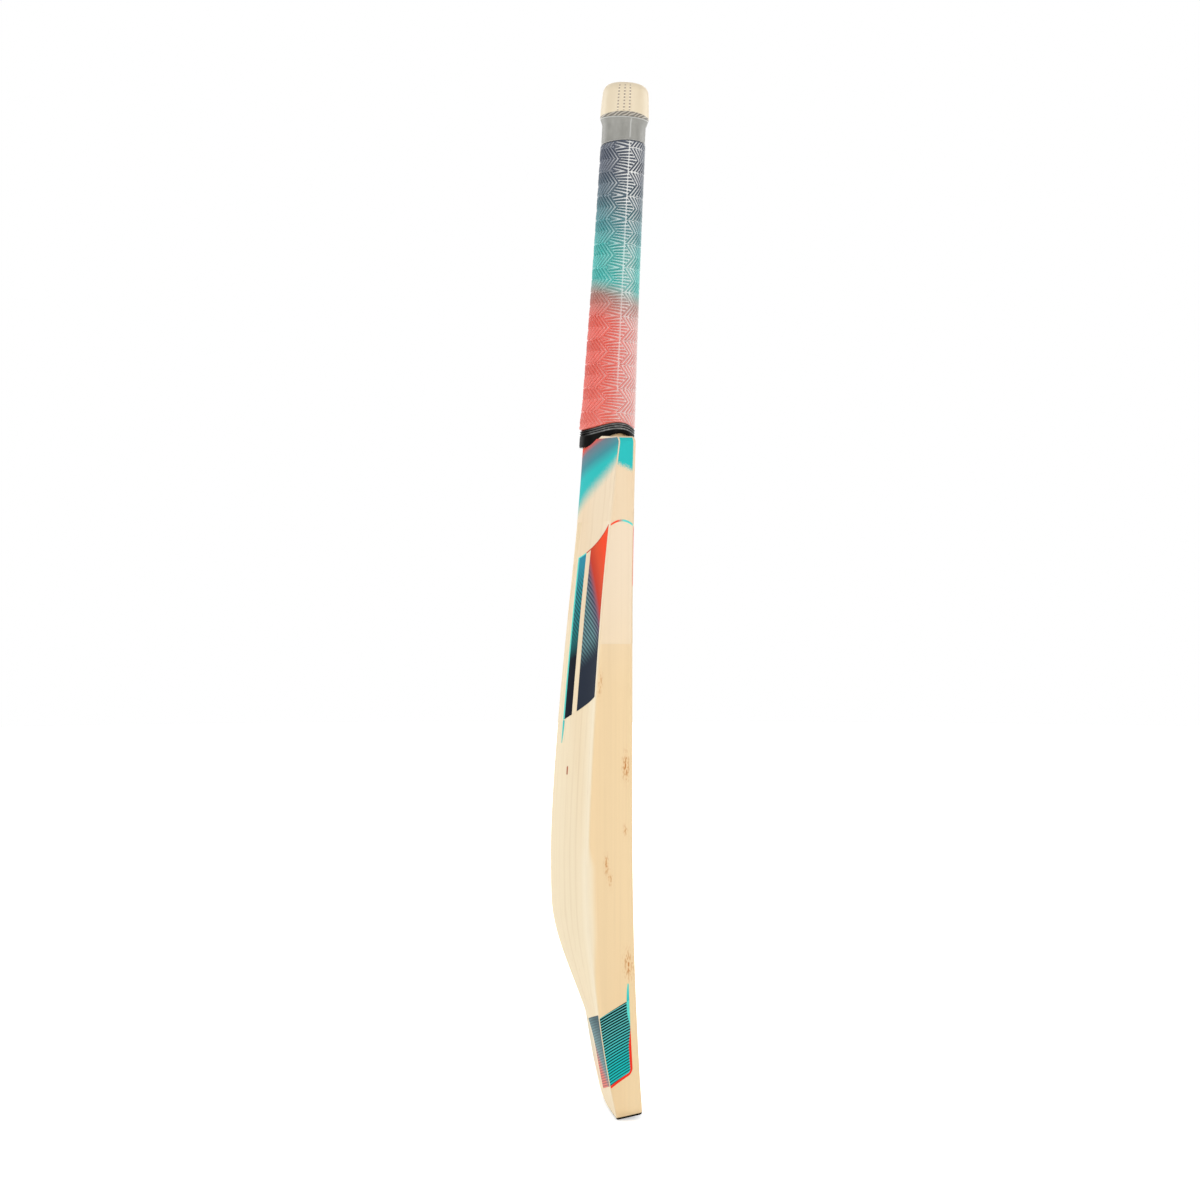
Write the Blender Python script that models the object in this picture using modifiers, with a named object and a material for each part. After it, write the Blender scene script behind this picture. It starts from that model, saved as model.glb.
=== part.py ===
"""A full-size, short-handle cricket bat, as the separate pieces that it is made of.

Metres, +Z up. The origin is the middle of the toe's underside. +Z runs up to the end of the
handle, the striking face looks towards -Y, and the spine stands out towards +Y.
"""

import math

import bmesh
import bpy
from mathutils import Vector

# Fits
GAP = 0.0003  # clearance between pieces that touch

# Blade outline, seen from the face
BLADE_LENGTH = 0.5575  # toe to the outer end of a shoulder
BLADE_WIDTH = 0.108
SHOULDER_RADIUS = 0.006
SHOULDER_RISE = 0.0038  # how much higher a shoulder is beside the handle
TOE_RADIUS = 0.012
TOE_SLOPE = math.radians(11.0)  # the underside drops towards the spine's side
TOE_SLOPE_FADE = 0.080  # height at which the sections are level again
TOE_GUARD_THICKNESS = 0.0028
TOE_GUARD_SIDE_INSET = 0.0045  # how far it lies in from the toe's rounded edges
TOE_GUARD_BACK_INSET = 0.0013  # and from the back

# Blade section
EDGE_AT_TOE = 0.0203
EDGE_AT_SWELL = 0.0363
EDGE_AT_SHOULDER = 0.0123
RIDGE_AT_TOE = 0.0014  # how far the spine stands out past the edges
RIDGE_AT_SWELL = 0.0257
RIDGE_DIP = 0.0034  # how much the spine sinks between the swell and the shoulders
FACE_CROWN = 0.0035  # how far the middle of the face stands out past its sides
BACK_CORNER_RADIUS = 0.0018
FACE_CORNER_RADIUS = 0.003
FLANK_FOOT_SLOPE = 0.6  # slope of a flank at the edge, where 1 is a straight flank
FLANK_CREST_SLOPE = 0.15  # and at the spine

# Blade along its length
FACE_PLANE = -0.0012  # the face's sides where the blade is straight
SWELL_HEIGHT = 0.2095
RIDGE_DROP_TOP = 0.1765  # the spine runs out between these two heights
RIDGE_DROP_FOOT = 0.0495
TOE_BOW = 0.0083  # how far the bow carries the toe forwards
TOE_BOW_START = 0.2645
SHOULDER_BOW = 0.0029
SHOULDER_BOW_LENGTH = 0.146

# Splice
SPLICE_DEPTH = 0.150
SPLICE_TIP_WIDTH = 0.006
SPLICE_SIDE = 0.0015  # how much wider than the cane the splice is at each shoulder

# Handle
HANDLE_LENGTH = 0.289  # from the handle's base to the end of the cane
HANDLE_BASE_RISE = 0.009  # the handle's base above the shoulders' outer ends
HANDLE_TILT = math.radians(3.15)  # it leans towards the face
CANE_BASE_DEPTH = 0.0376
CANE_BASE_WIDTH = 0.0330
CANE_TOP_DEPTH = 0.0292
CANE_TOP_WIDTH = 0.0280
CANE_STRAIGHT = 0.051  # the stretch under the handle's end that has no taper
CANE_END_CHAMFER = 0.0012
CANE_ROOT = 0.002  # how far the oval goes on below the collar, into the splice
SHOULDER_COVER = 0.0013  # how far the blade stands out past the cane at the shoulders
SLAB_THICKNESS = 0.0062  # the two inner slabs of cane
MIDDLE_STRIP_WIDTH = 0.0100
SPRING_THICKNESS = 0.0015

# Twine, grip and collar
TWINE_WALL = 0.0008
TWINE_END = 0.010  # bare cane at the handle's end
GRIP_WALL = 0.0024
GRIP_LIP = 0.001  # how far the grip reaches past the end of the cane
CUFF_LENGTH = 0.036
CUFF_BULGE = 0.0021
CUFF_SLOPE_LENGTH = 0.005
CUFF_ROUND = 0.006
COLLAR_FOOT = -0.0087  # along the handle, from its base
COLLAR_FOOT_SWAY = 0.0017  # how far it rises over the shoulders and drops front and back
COLLAR_FOOT_LEAN = 0.0076  # how much further it drops behind, and rises in front
COLLAR_FOOT_BEND = 0.0012  # how much more suddenly it drops, beside the shoulders
COLLAR_TOP = 0.0017
COLLAR_TOP_SWAY = 0.0023
COLLAR_TOP_LEAN = 0.0027
COLLAR_TOP_BEND = 0.0009
COLLAR_PROUD = 0.0004
COLLAR_GROOVE = 0.0005
COLLAR_GROOVE_PLACES = (0.36, 0.68)  # shares of the band's height
COLLAR_GROOVE_HALF = 0.06
COLLAR_RIM = 0.08

# Labels: heights are measured up from the toe, drops down from the shoulders
LABEL_THICKNESS = 0.0003
LABEL_MARGIN = 0.002  # bare wood left at the corners of the back
LABEL_FACE_MARGIN = 0.0035  # and of the face
SHOULDER_LABEL_DROPS = (0.0015, 0.069)
SHOULDER_LABEL_CLEAR = 0.0018  # between that label and the collar
SHOULDER_EDGE_LABEL_DROPS = (0.0065, 0.033)
FLANK_LABEL_DROPS = (0.072, 0.213)
FLANK_LABEL_INSET = 0.012  # from the spine
FLANK_LABEL_SLANT = 0.027  # how much lower it is beside the spine
EDGE_LABEL_DROPS = (0.068, 0.1695)
FACE_LABEL_DROPS = (0.059, 0.169)
TOE_LABEL_HEIGHTS = (0.0265, 0.083)
TOE_LABEL_SLANT = 0.0135  # how much higher it is beside the face
TOE_LABEL_FACE_MARGIN = 0.0068
TOE_BACK_LABEL_HEIGHTS = (0.0300, 0.0858)
TOE_BACK_LABEL_SLANT = 0.0125  # how much lower it is on the spine

# Mesh fineness
RING_POINTS = 36
STATION_SPACING = 0.017
FLANK_POINTS = 8
FACE_POINTS = 4
CORNER_POINTS = 3
TOE_STATIONS = 3
ROUND_TURNS = (30, 60, 90)  # degrees, the steps round a corner
SHARP_ANGLE = math.radians(35)

# Exponents of the curves along the blade
EDGE_FALL_UP = 1.4
EDGE_FALL_DOWN = 2.6
TOE_BOW_POWER = 2.2
SHOULDER_BOW_POWER = 1.5

HALF_WIDTH = BLADE_WIDTH / 2
HANDLE_BASE_HEIGHT = BLADE_LENGTH + HANDLE_BASE_RISE
CANE_TAPER_LENGTH = HANDLE_LENGTH - CANE_STRAIGHT
SLEEVE_WALLS = GAP + TWINE_WALL + GAP + GRIP_WALL  # from the cane out to the grip's skin
LEVEL = (0.0, 0.0, 0.0)
COLLAR_FOOT_SADDLE = (COLLAR_FOOT_SWAY, COLLAR_FOOT_LEAN, COLLAR_FOOT_BEND)
COLLAR_TOP_SADDLE = (COLLAR_TOP_SWAY, COLLAR_TOP_LEAN, COLLAR_TOP_BEND)
COLLAR_LOWEST = COLLAR_FOOT - sum(COLLAR_FOOT_SADDLE)


def blend(start, end, share):
    """The value that share of the way from start to end, held between the two."""
    return start + (end - start) * min(max(share, 0.0), 1.0)


def smooth(share):
    share = min(max(share, 0.0), 1.0)
    return share * share * (3 - 2 * share)


# Blade surface


def face_side(height):
    """How far back the face's two sides lie."""
    below = max(TOE_BOW_START - height, 0.0) / TOE_BOW_START
    bow_top = BLADE_LENGTH - SHOULDER_BOW_LENGTH
    above = max(height - bow_top, 0.0) / SHOULDER_BOW_LENGTH
    return FACE_PLANE - TOE_BOW * below**TOE_BOW_POWER - SHOULDER_BOW * above**SHOULDER_BOW_POWER


def cane_half_depth(along):
    return blend(CANE_BASE_DEPTH, CANE_TOP_DEPTH, along / CANE_TAPER_LENGTH) / 2


def cane_half_width(along):
    return blend(CANE_BASE_WIDTH, CANE_TOP_WIDTH, along / CANE_TAPER_LENGTH) / 2


HANDLE_BASE_BACK = face_side(BLADE_LENGTH) - FACE_CROWN + SHOULDER_COVER + cane_half_depth(0.0)
RIDGE_AT_SHOULDER = (
    HANDLE_BASE_BACK + cane_half_depth(0.0) + SHOULDER_COVER - face_side(BLADE_LENGTH) - EDGE_AT_SHOULDER
)


def above_swell(height):
    return max(height - SWELL_HEIGHT, 0.0) / (BLADE_LENGTH - SWELL_HEIGHT)


def below_swell(height):
    return max(SWELL_HEIGHT - height, 0.0) / SWELL_HEIGHT


def edge_thickness(height):
    up = (EDGE_AT_SWELL - EDGE_AT_SHOULDER) * above_swell(height) ** EDGE_FALL_UP
    down = (EDGE_AT_SWELL - EDGE_AT_TOE) * below_swell(height) ** EDGE_FALL_DOWN
    return EDGE_AT_SWELL - up - down


def ridge(height):
    """How far the spine stands out past the edges."""
    if height < SWELL_HEIGHT:
        drop = (height - RIDGE_DROP_FOOT) / (RIDGE_DROP_TOP - RIDGE_DROP_FOOT)
        return blend(RIDGE_AT_TOE, RIDGE_AT_SWELL, smooth(drop))
    up = min(above_swell(height), 1.0)
    return blend(RIDGE_AT_SWELL, RIDGE_AT_SHOULDER, up) - RIDGE_DIP * math.sin(math.pi * up * up)


def flank_shape(share):
    """Rise of a flank from the edge, at share 0, to the spine, at share 1."""
    cubed = share**3
    squared = share**2
    foot = (cubed - 2 * squared + share) * FLANK_FOOT_SLOPE
    crest = (cubed - squared) * FLANK_CREST_SLOPE
    return foot + crest - 2 * cubed + 3 * squared


def face_back(across, height):
    return face_side(height) - FACE_CROWN * (1 - (across / HALF_WIDTH) ** 2)


def spine_back(across, height):
    share = 1 - abs(across) / HALF_WIDTH
    return face_side(height) + edge_thickness(height) + ridge(height) * flank_shape(share)


def half_width(height):
    """Half the blade's width, with the round corners of the toe and the shoulders."""
    low = max(TOE_RADIUS - height, 0.0)
    high = max(height - (BLADE_LENGTH - SHOULDER_RADIUS), 0.0)
    toe_cut = TOE_RADIUS - math.sqrt(max(TOE_RADIUS**2 - low**2, 0.0))
    shoulder_cut = SHOULDER_RADIUS - math.sqrt(max(SHOULDER_RADIUS**2 - high**2, 0.0))
    return HALF_WIDTH - toe_cut - shoulder_cut


def on_blade(across, back, height):
    """A point of the section at this height, which slopes near the toe as the underside does."""
    level = smooth((height - TOE_GUARD_THICKNESS) / (TOE_SLOPE_FADE - TOE_GUARD_THICKNESS))
    return Vector((across, back, height - back * math.tan(TOE_SLOPE) * (1 - level)))


def bent(start, corner, end, count):
    """Points of the curve that rounds a corner, both ends included."""
    points = []
    for step in range(count + 1):
        t = step / count
        points.append(
            tuple((1 - t) ** 2 * a + 2 * t * (1 - t) * b + t * t * c for a, b, c in zip(start, corner, end))
        )
    return points


def half_section(height, half):
    """The section's right half, from the spine round to the middle of the face."""
    flank_end = half - BACK_CORNER_RADIUS
    flank = [flank_end * step / FLANK_POINTS for step in range(FLANK_POINTS)]
    points = [(x, spine_back(x, height)) for x in flank]
    back_corner = (half, spine_back(half, height))
    face_corner = (half, face_back(half, height))
    points += bent(
        (flank_end, spine_back(flank_end, height)),
        back_corner,
        (half, back_corner[1] - BACK_CORNER_RADIUS),
        CORNER_POINTS,
    )
    face_end = half - FACE_CORNER_RADIUS
    points += bent(
        (half, face_corner[1] + FACE_CORNER_RADIUS),
        face_corner,
        (face_end, face_back(face_end, height)),
        CORNER_POINTS,
    )
    for step in range(1, FACE_POINTS + 1):
        x = face_end * (1 - step / FACE_POINTS)
        points.append((x, face_back(x, height)))
    return points


def blade_ring(height, half):
    right = half_section(height, half)
    left = [(-x, y) for x, y in reversed(right[1:-1])]
    return [on_blade(x, y, height) for x, y in right + left]


# Handle frame

AXIS = Vector((0.0, -math.sin(HANDLE_TILT), math.cos(HANDLE_TILT)))
BACKWARDS = Vector((0.0, math.cos(HANDLE_TILT), math.sin(HANDLE_TILT)))
HANDLE_BASE = Vector((0.0, HANDLE_BASE_BACK, HANDLE_BASE_HEIGHT))


def saddle_rise(saddle, turn):
    """How far a saddle-shaped ring lies above its middle level at this turn."""
    sway, lean, bend = saddle
    return sway * math.cos(2 * turn) - lean * math.sin(turn) - bend * math.sin(3 * turn)


def handle_ring(along, outside=0.0, saddle=LEVEL, size_at=None):
    """An oval round the handle's axis, outside the cane by this much.

    A saddle rises over the shoulders and drops behind. The oval's size is the cane's at size_at,
    or at along where none is given.
    """
    where = along if size_at is None else size_at
    wide = cane_half_width(where) + outside
    deep = cane_half_depth(where) + outside
    points = []
    for step in range(RING_POINTS):
        turn = 2 * math.pi * step / RING_POINTS
        points.append(
            HANDLE_BASE
            + Vector((wide * math.cos(turn), 0, 0))
            + BACKWARDS * deep * math.sin(turn)
            + AXIS * (along + saddle_rise(saddle, turn))
        )
    return points


# Scene and mesh helpers


def clear_scene():
    for thing in list(bpy.data.objects):
        bpy.data.objects.remove(thing, do_unlink=True)


def new_collection(name):
    collection = bpy.data.collections.new(name)
    bpy.context.scene.collection.children.link(collection)
    return collection


def finish(name, red, green, blue, roughness):
    """A material from the colour as it looks, 0 to 255 a channel."""
    material = bpy.data.materials.new(name)
    material.use_nodes = True
    shader = material.node_tree.nodes["Principled BSDF"]
    linear = [(channel / 255) ** 2.2 for channel in (red, green, blue)]
    shader.inputs["Base Color"].default_value = (*linear, 1)
    shader.inputs["Roughness"].default_value = roughness
    shader.inputs["Metallic"].default_value = 0.0
    return material


def new_piece(name, bm, collection, material=None):
    mesh = bpy.data.meshes.new(name)
    bm.to_mesh(mesh)
    bm.free()
    mesh.shade_smooth()
    mesh.set_sharp_from_angle(angle=SHARP_ANGLE)
    piece = bpy.data.objects.new(name, mesh)
    collection.objects.link(piece)
    if material:
        mesh.materials.append(material)
    else:
        piece.hide_render = True
        piece.display_type = "WIRE"
    return piece


def loft(rings, closed=False):
    """A skin over the rings: a capped body, or a closed tube whose last ring meets its first."""
    bm = bmesh.new()
    loops = [[bm.verts.new(point) for point in ring] for ring in rings]
    followers = loops[1:] + loops[:1] if closed else loops[1:]
    for low, high in zip(loops, followers):
        for index in range(len(low)):
            beside = (index + 1) % len(low)
            bm.faces.new((low[index], low[beside], high[beside], high[index]))
    if not closed:
        bm.faces.new(reversed(loops[0]))
        bm.faces.new(loops[-1])
    bmesh.ops.recalc_face_normals(bm, faces=bm.faces)
    bmesh.ops.triangulate(bm, faces=bm.faces)
    return bm


def combine(piece, operation, other, solver="EXACT"):
    modifier = piece.modifiers.new(f"{operation.lower()} {other.name}", "BOOLEAN")
    modifier.operation = operation
    modifier.solver = solver
    modifier.object = other


# Blade


def blade_heights():
    toe = [blend(TOE_GUARD_THICKNESS, TOE_RADIUS, step / TOE_STATIONS) for step in range(TOE_STATIONS)]
    shoulder_foot = BLADE_LENGTH - SHOULDER_RADIUS
    count = math.ceil((shoulder_foot - TOE_RADIUS) / STATION_SPACING)
    body = [blend(TOE_RADIUS, shoulder_foot, step / count) for step in range(count + 1)]
    shoulder = [shoulder_foot + SHOULDER_RADIUS * math.sin(math.radians(turn)) for turn in ROUND_TURNS]
    return toe + body + shoulder


def blade_rings():
    rings = [blade_ring(height, half_width(height)) for height in blade_heights()]
    inner_end = cane_half_width(0.0) + SLEEVE_WALLS + COLLAR_PROUD
    rings.append(blade_ring(BLADE_LENGTH + SHOULDER_RISE, inner_end))
    return rings


def splice_prism(clearance):
    """The V of the splice, through the blade from face to back, with straight sides at the collar."""
    tip_half = SPLICE_TIP_WIDTH / 2 + clearance
    top_half = cane_half_width(0.0) + SPLICE_SIDE + clearance
    foot = BLADE_LENGTH - SPLICE_DEPTH - clearance
    full_width = HANDLE_BASE_HEIGHT + COLLAR_LOWEST
    end = HANDLE_BASE_HEIGHT + HANDLE_LENGTH / 2
    reach = BLADE_WIDTH

    def outline(back):
        right = [(tip_half, foot), (top_half, full_width), (top_half, end)]
        left = [(-x, height) for x, height in reversed(right)]
        return [Vector((x, back, height)) for x, height in right + left]

    return loft([outline(-reach), outline(reach)])


def collar_seat():
    """The space that the collar takes at the handle's foot, open upwards."""
    foot = COLLAR_FOOT - GAP
    outside = SLEEVE_WALLS + COLLAR_PROUD + GAP
    core = handle_ring(COLLAR_FOOT, -cane_half_width(0.0) / 2, LEVEL, 0.0)
    inner = handle_ring(foot, GAP / 2, COLLAR_FOOT_SADDLE, 0.0)
    rim = handle_ring(foot, outside, COLLAR_FOOT_SADDLE, 0.0)
    top = handle_ring(BLADE_WIDTH, outside, LEVEL, 0.0)
    return loft([core, inner, rim, top])


def add_blade(parts, cutters, willow):
    blade = new_piece("blade", loft(blade_rings()), parts, willow)
    slot = new_piece("cutter_splice_slot", splice_prism(GAP), cutters)
    seat = new_piece("cutter_collar_seat", collar_seat(), cutters)
    combine(blade, "DIFFERENCE", slot)
    combine(blade, "DIFFERENCE", seat)
    return seat


def add_toe_guard(parts, rubber):
    """A pad with upright sides, a little smaller than the toe that it covers."""
    half = half_width(TOE_GUARD_THICKNESS) - TOE_GUARD_SIDE_INSET
    front, thickness = face_side(TOE_GUARD_THICKNESS), edge_thickness(TOE_GUARD_THICKNESS)
    right = [
        (x, y - TOE_GUARD_BACK_INSET * (y - front) / thickness)
        for x, y in half_section(TOE_GUARD_THICKNESS, half)
    ]
    left = [(-x, y) for x, y in reversed(right[1:-1])]
    heights = [0.0, TOE_GUARD_THICKNESS / 3, TOE_GUARD_THICKNESS - GAP]
    rings = [[on_blade(x, y, height) for x, y in right + left] for height in heights]
    new_piece("toe_guard", loft(rings), parts, rubber)


# Handle


def handle_blank(cutters, seat):
    """The whole cane handle before it is sawn: a V that fills the splice, and an oval above it."""
    blank = new_piece("guide_handle_blank", loft(blade_rings()), cutters)
    wedge = new_piece("guide_splice_wedge", splice_prism(0.0), cutters)
    root = COLLAR_LOWEST - CANE_ROOT
    stations = [root, 0.0, CANE_TAPER_LENGTH / 2, CANE_TAPER_LENGTH]
    stations.append(HANDLE_LENGTH - CANE_END_CHAMFER)
    rings = [handle_ring(along) for along in stations]
    rings.append(handle_ring(HANDLE_LENGTH, -CANE_END_CHAMFER))
    oval = new_piece("guide_handle_oval", loft(rings), cutters)
    combine(blank, "INTERSECT", wedge, solver="MANIFOLD")
    combine(blank, "DIFFERENCE", seat, solver="MANIFOLD")
    combine(blank, "UNION", oval, solver="MANIFOLD")
    return blank


def sawn(name, across, deep, parts, material, blank):
    """A box along the handle's axis, between these sides, kept where the blank is."""
    low = Vector((across[0], deep[0], -SPLICE_DEPTH - HANDLE_LENGTH))
    high = Vector((across[1], deep[1], 2 * HANDLE_LENGTH))
    bm = bmesh.new()
    bmesh.ops.create_cube(bm, size=1.0)
    for vert in bm.verts:
        share = vert.co + Vector((0.5, 0.5, 0.5))
        vert.co = Vector((blend(a, b, t) for a, b, t in zip(low, high, share)))
    piece = new_piece(name, bm, parts, material)
    piece.location = HANDLE_BASE
    piece.rotation_euler = (HANDLE_TILT, 0, 0)
    combine(piece, "INTERSECT", blank, solver="MANIFOLD")


def add_handle(parts, cane, rubber, blank):
    pitch = SLAB_THICKNESS + SPRING_THICKNESS + 2 * GAP
    half_spring = SPRING_THICKNESS / 2
    outermost = BLADE_WIDTH
    springs = {"front": -pitch, "middle": 0.0, "back": pitch}
    for place, middle in springs.items():
        deep = (middle - half_spring, middle + half_spring)
        sawn(f"spring_{place}", (-outermost, outermost), deep, parts, rubber, blank)
    inner = half_spring + GAP
    slabs = {
        "front": (-outermost, -pitch - inner),
        "mid_front": (-pitch + inner, -inner),
        "mid_back": (inner, pitch - inner),
        "back": (pitch + inner, outermost),
    }
    half_strip = MIDDLE_STRIP_WIDTH / 2
    columns = {
        "left": (-outermost, -half_strip - GAP),
        "middle": (-half_strip, half_strip),
        "right": (half_strip + GAP, outermost),
    }
    for slab, deep in slabs.items():
        for column, across in columns.items():
            sawn(f"cane_{slab}_{column}", across, deep, parts, cane, blank)


def add_twine(parts, thread):
    """The wound thread under the grip, as the thin sleeve that it makes."""
    end = HANDLE_LENGTH - TWINE_END
    stations = [COLLAR_TOP + sum(COLLAR_TOP_SADDLE), CANE_TAPER_LENGTH, end]

    def wall(outside):
        foot = handle_ring(COLLAR_FOOT, outside, COLLAR_FOOT_SADDLE, 0.0)
        return [foot] + [handle_ring(along, outside) for along in stations]

    rings = wall(GAP + TWINE_WALL) + wall(GAP)[::-1]
    new_piece("twine_binding", loft(rings, closed=True), parts, thread)


def add_grip(parts, rubber):
    """One sleeve: straight along the cane, with a thicker cuff at the handle's end."""
    foot = COLLAR_TOP + GAP
    top = HANDLE_LENGTH + GRIP_LIP
    cuff = top - CUFF_LENGTH
    bore = SLEEVE_WALLS - GRIP_WALL
    skin = SLEEVE_WALLS
    round_foot = top - CUFF_ROUND
    outer = [handle_ring(foot, skin, COLLAR_TOP_SADDLE)]
    for along in (CANE_TAPER_LENGTH / 3, CANE_TAPER_LENGTH * 2 / 3, CANE_TAPER_LENGTH, cuff):
        outer.append(handle_ring(along, skin))
    outer.append(handle_ring(cuff + CUFF_SLOPE_LENGTH, skin + CUFF_BULGE))
    narrowing = skin + CUFF_BULGE / 2
    for turn in (0, *ROUND_TURNS):
        up = math.sin(math.radians(turn))
        inwards = 1 - math.cos(math.radians(turn))
        skin_here = narrowing - (narrowing - bore) / 2 * inwards
        outer.append(handle_ring(round_foot + CUFF_ROUND * up, skin_here))
    inner = [handle_ring(top, bore), handle_ring(CANE_TAPER_LENGTH, bore)]
    inner.append(handle_ring(foot, bore, COLLAR_TOP_SADDLE))
    new_piece("grip", loft(outer + inner, closed=True), parts, rubber)


def add_collar(parts, rubber):
    """A band with two grooves, between the shoulders and the grip."""
    bore = GAP + TWINE_WALL + GAP
    skin = SLEEVE_WALLS + COLLAR_PROUD
    profile = [(0.0, -COLLAR_GROOVE), (COLLAR_RIM, 0.0)]
    for place in COLLAR_GROOVE_PLACES:
        low, high = place - COLLAR_GROOVE_HALF, place + COLLAR_GROOVE_HALF
        profile += [(low, 0.0), (place, -COLLAR_GROOVE), (high, 0.0)]
    profile += [(1.0 - COLLAR_RIM, 0.0), (1.0, -COLLAR_GROOVE)]

    def ring(share, outside):
        along = blend(COLLAR_FOOT, COLLAR_TOP, share)
        saddle = [blend(low, high, share) for low, high in zip(COLLAR_FOOT_SADDLE, COLLAR_TOP_SADDLE)]
        return handle_ring(along, outside, saddle, 0.0)

    rings = [ring(share, skin + sunk) for share, sunk in profile]
    rings += [ring(1.0, bore), ring(0.0, bore)]
    new_piece("collar_band", loft(rings, closed=True), parts, rubber)


# Labels


def collar_foot_height(across):
    """Height of the collar's foot at the back, this far from the middle."""
    outside = SLEEVE_WALLS + COLLAR_PROUD + GAP
    share = min(abs(across) / (cane_half_width(0.0) + outside), 1.0)
    turn = math.acos(share)
    deep = (cane_half_depth(0.0) + outside) * math.sin(turn)
    return HANDLE_BASE_HEIGHT + COLLAR_FOOT + saddle_rise(COLLAR_FOOT_SADDLE, turn) + deep * BACKWARDS.z


def add_label(name, spot, outward, columns, rows, parts, vinyl):
    """A thin sheet that follows the blade: spot gives its place from two shares of its size."""
    nudge = 0.01
    bm = bmesh.new()
    bmesh.ops.create_grid(bm, x_segments=columns, y_segments=rows, size=0.5)
    for vert in bm.verts:
        u, v = vert.co.x + 0.5, vert.co.y + 0.5
        side = spot(u + nudge, v) - spot(u - nudge, v)
        rise = spot(u, v + nudge) - spot(u, v - nudge)
        normal = side.cross(rise).normalized()
        if normal.dot(outward) < 0:
            normal.negate()
        vert.co = spot(u, v) + normal * GAP
    bm.normal_update()
    if next(iter(bm.faces)).normal.dot(outward) < 0:
        bmesh.ops.reverse_faces(bm, faces=bm.faces)
    label = new_piece(name, bm, parts, vinyl)
    skin = label.modifiers.new("thickness", "SOLIDIFY")
    skin.thickness = LABEL_THICKNESS
    skin.offset = 1.0


def add_labels(parts, fade, panel, clear):
    """Mirrored pairs on the flanks and edges, and single labels across the back and the face."""
    widest = HALF_WIDTH - LABEL_MARGIN
    backwards, forwards = Vector((0, 1, 0)), Vector((0, -1, 0))

    def drop(drops, v):
        return BLADE_LENGTH - blend(drops[1], drops[0], v)

    def across_toe(u, v):
        x = widest * (2 * u - 1)
        height = blend(*TOE_BACK_LABEL_HEIGHTS, v) - TOE_BACK_LABEL_SLANT * (1 - abs(x) / HALF_WIDTH)
        return on_blade(x, spine_back(x, height), height)

    def below_collar(u, v):
        """The shoulder label: its top follows the collar's foot where that is lower."""
        x = widest * (2 * u - 1)
        top = min(drop(SHOULDER_LABEL_DROPS, 1.0), collar_foot_height(x) - SHOULDER_LABEL_CLEAR)
        height = drop(SHOULDER_LABEL_DROPS, 0.0) * (1 - v) + top * v
        return on_blade(x, spine_back(x, height), height)

    def across_face(u, v):
        x, height = (HALF_WIDTH - LABEL_FACE_MARGIN) * (2 * u - 1), drop(FACE_LABEL_DROPS, v)
        return on_blade(x, face_back(x, height), height)

    def along_edge(side, heights, slant=0.0, face_margin=FACE_CORNER_RADIUS):
        def spot(u, v):
            height = heights(v) + slant * (1 - u)
            front = face_back(HALF_WIDTH, height) + face_margin
            back = spine_back(HALF_WIDTH, height) - BACK_CORNER_RADIUS
            return on_blade(side * HALF_WIDTH, front + (back - front) * u, height)

        return spot

    def on_flank(side):
        def spot(u, v):
            x = FLANK_LABEL_INSET + (widest - FLANK_LABEL_INSET) * u
            height = drop(FLANK_LABEL_DROPS, v) - FLANK_LABEL_SLANT * (1 - u)
            return on_blade(side * x, spine_back(x, height), height)

        return spot

    add_label("label_shoulder_back", below_collar, backwards, 32, 4, parts, fade)
    add_label("label_toe_back", across_toe, backwards, 16, 5, parts, panel)
    add_label("label_face", across_face, forwards, 8, 4, parts, panel)
    for name, side in {"left": -1, "right": 1}.items():
        outward = Vector((side, 0, 0))
        shoulder = along_edge(side, lambda v: drop(SHOULDER_EDGE_LABEL_DROPS, v))
        add_label(f"label_shoulder_edge_{name}", shoulder, outward, 2, 3, parts, fade)
        middle = along_edge(side, lambda v: drop(EDGE_LABEL_DROPS, v))
        add_label(f"label_edge_{name}", middle, outward, 2, 6, parts, clear)
        toe = along_edge(
            side, lambda v: blend(*TOE_LABEL_HEIGHTS, v), TOE_LABEL_SLANT, TOE_LABEL_FACE_MARGIN
        )
        add_label(f"label_toe_edge_{name}", toe, outward, 2, 6, parts, panel)
        add_label(f"label_flank_{name}", on_flank(side), backwards, 6, 9, parts, panel)


def main():
    clear_scene()
    parts = new_collection("cricket_bat")
    cutters = new_collection("cutters")
    willow = finish("willow", 237, 213, 174, 0.55)
    cane = finish("cane", 214, 178, 122, 0.6)
    spring_rubber = finish("spring rubber", 60, 52, 46, 0.8)
    thread = finish("twine", 226, 214, 186, 0.8)
    grip_rubber = finish("grip rubber", 200, 140, 125, 0.4)
    black_rubber = finish("black rubber", 34, 33, 32, 0.4)
    fade = finish("fade vinyl", 70, 185, 180, 0.3)
    panel = finish("panel vinyl", 60, 90, 110, 0.3)
    clear = finish("clear vinyl", 240, 222, 190, 0.3)
    seat = add_blade(parts, cutters, willow)
    add_toe_guard(parts, black_rubber)
    add_handle(parts, cane, spring_rubber, handle_blank(cutters, seat))
    add_twine(parts, thread)
    add_grip(parts, grip_rubber)
    add_collar(parts, black_rubber)
    add_labels(parts, fade, panel, clear)


main()
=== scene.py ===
"""Looks of a full-size, short-handle cricket bat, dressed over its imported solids.

Metres, +Z up. The origin is the middle of the toe's underside, the striking face looks towards -Y
and the spine stands out towards +Y.
"""

import logging
import math
from collections.abc import Callable
from dataclasses import dataclass, field
from enum import Enum
from functools import cached_property, partial
from itertools import accumulate

import bmesh
import bpy
from bmesh.types import BMesh, BMVert
from bpy.types import Material, Node, NodeSocket, NodeTree, Object
from mathutils import Matrix, Vector


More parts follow.
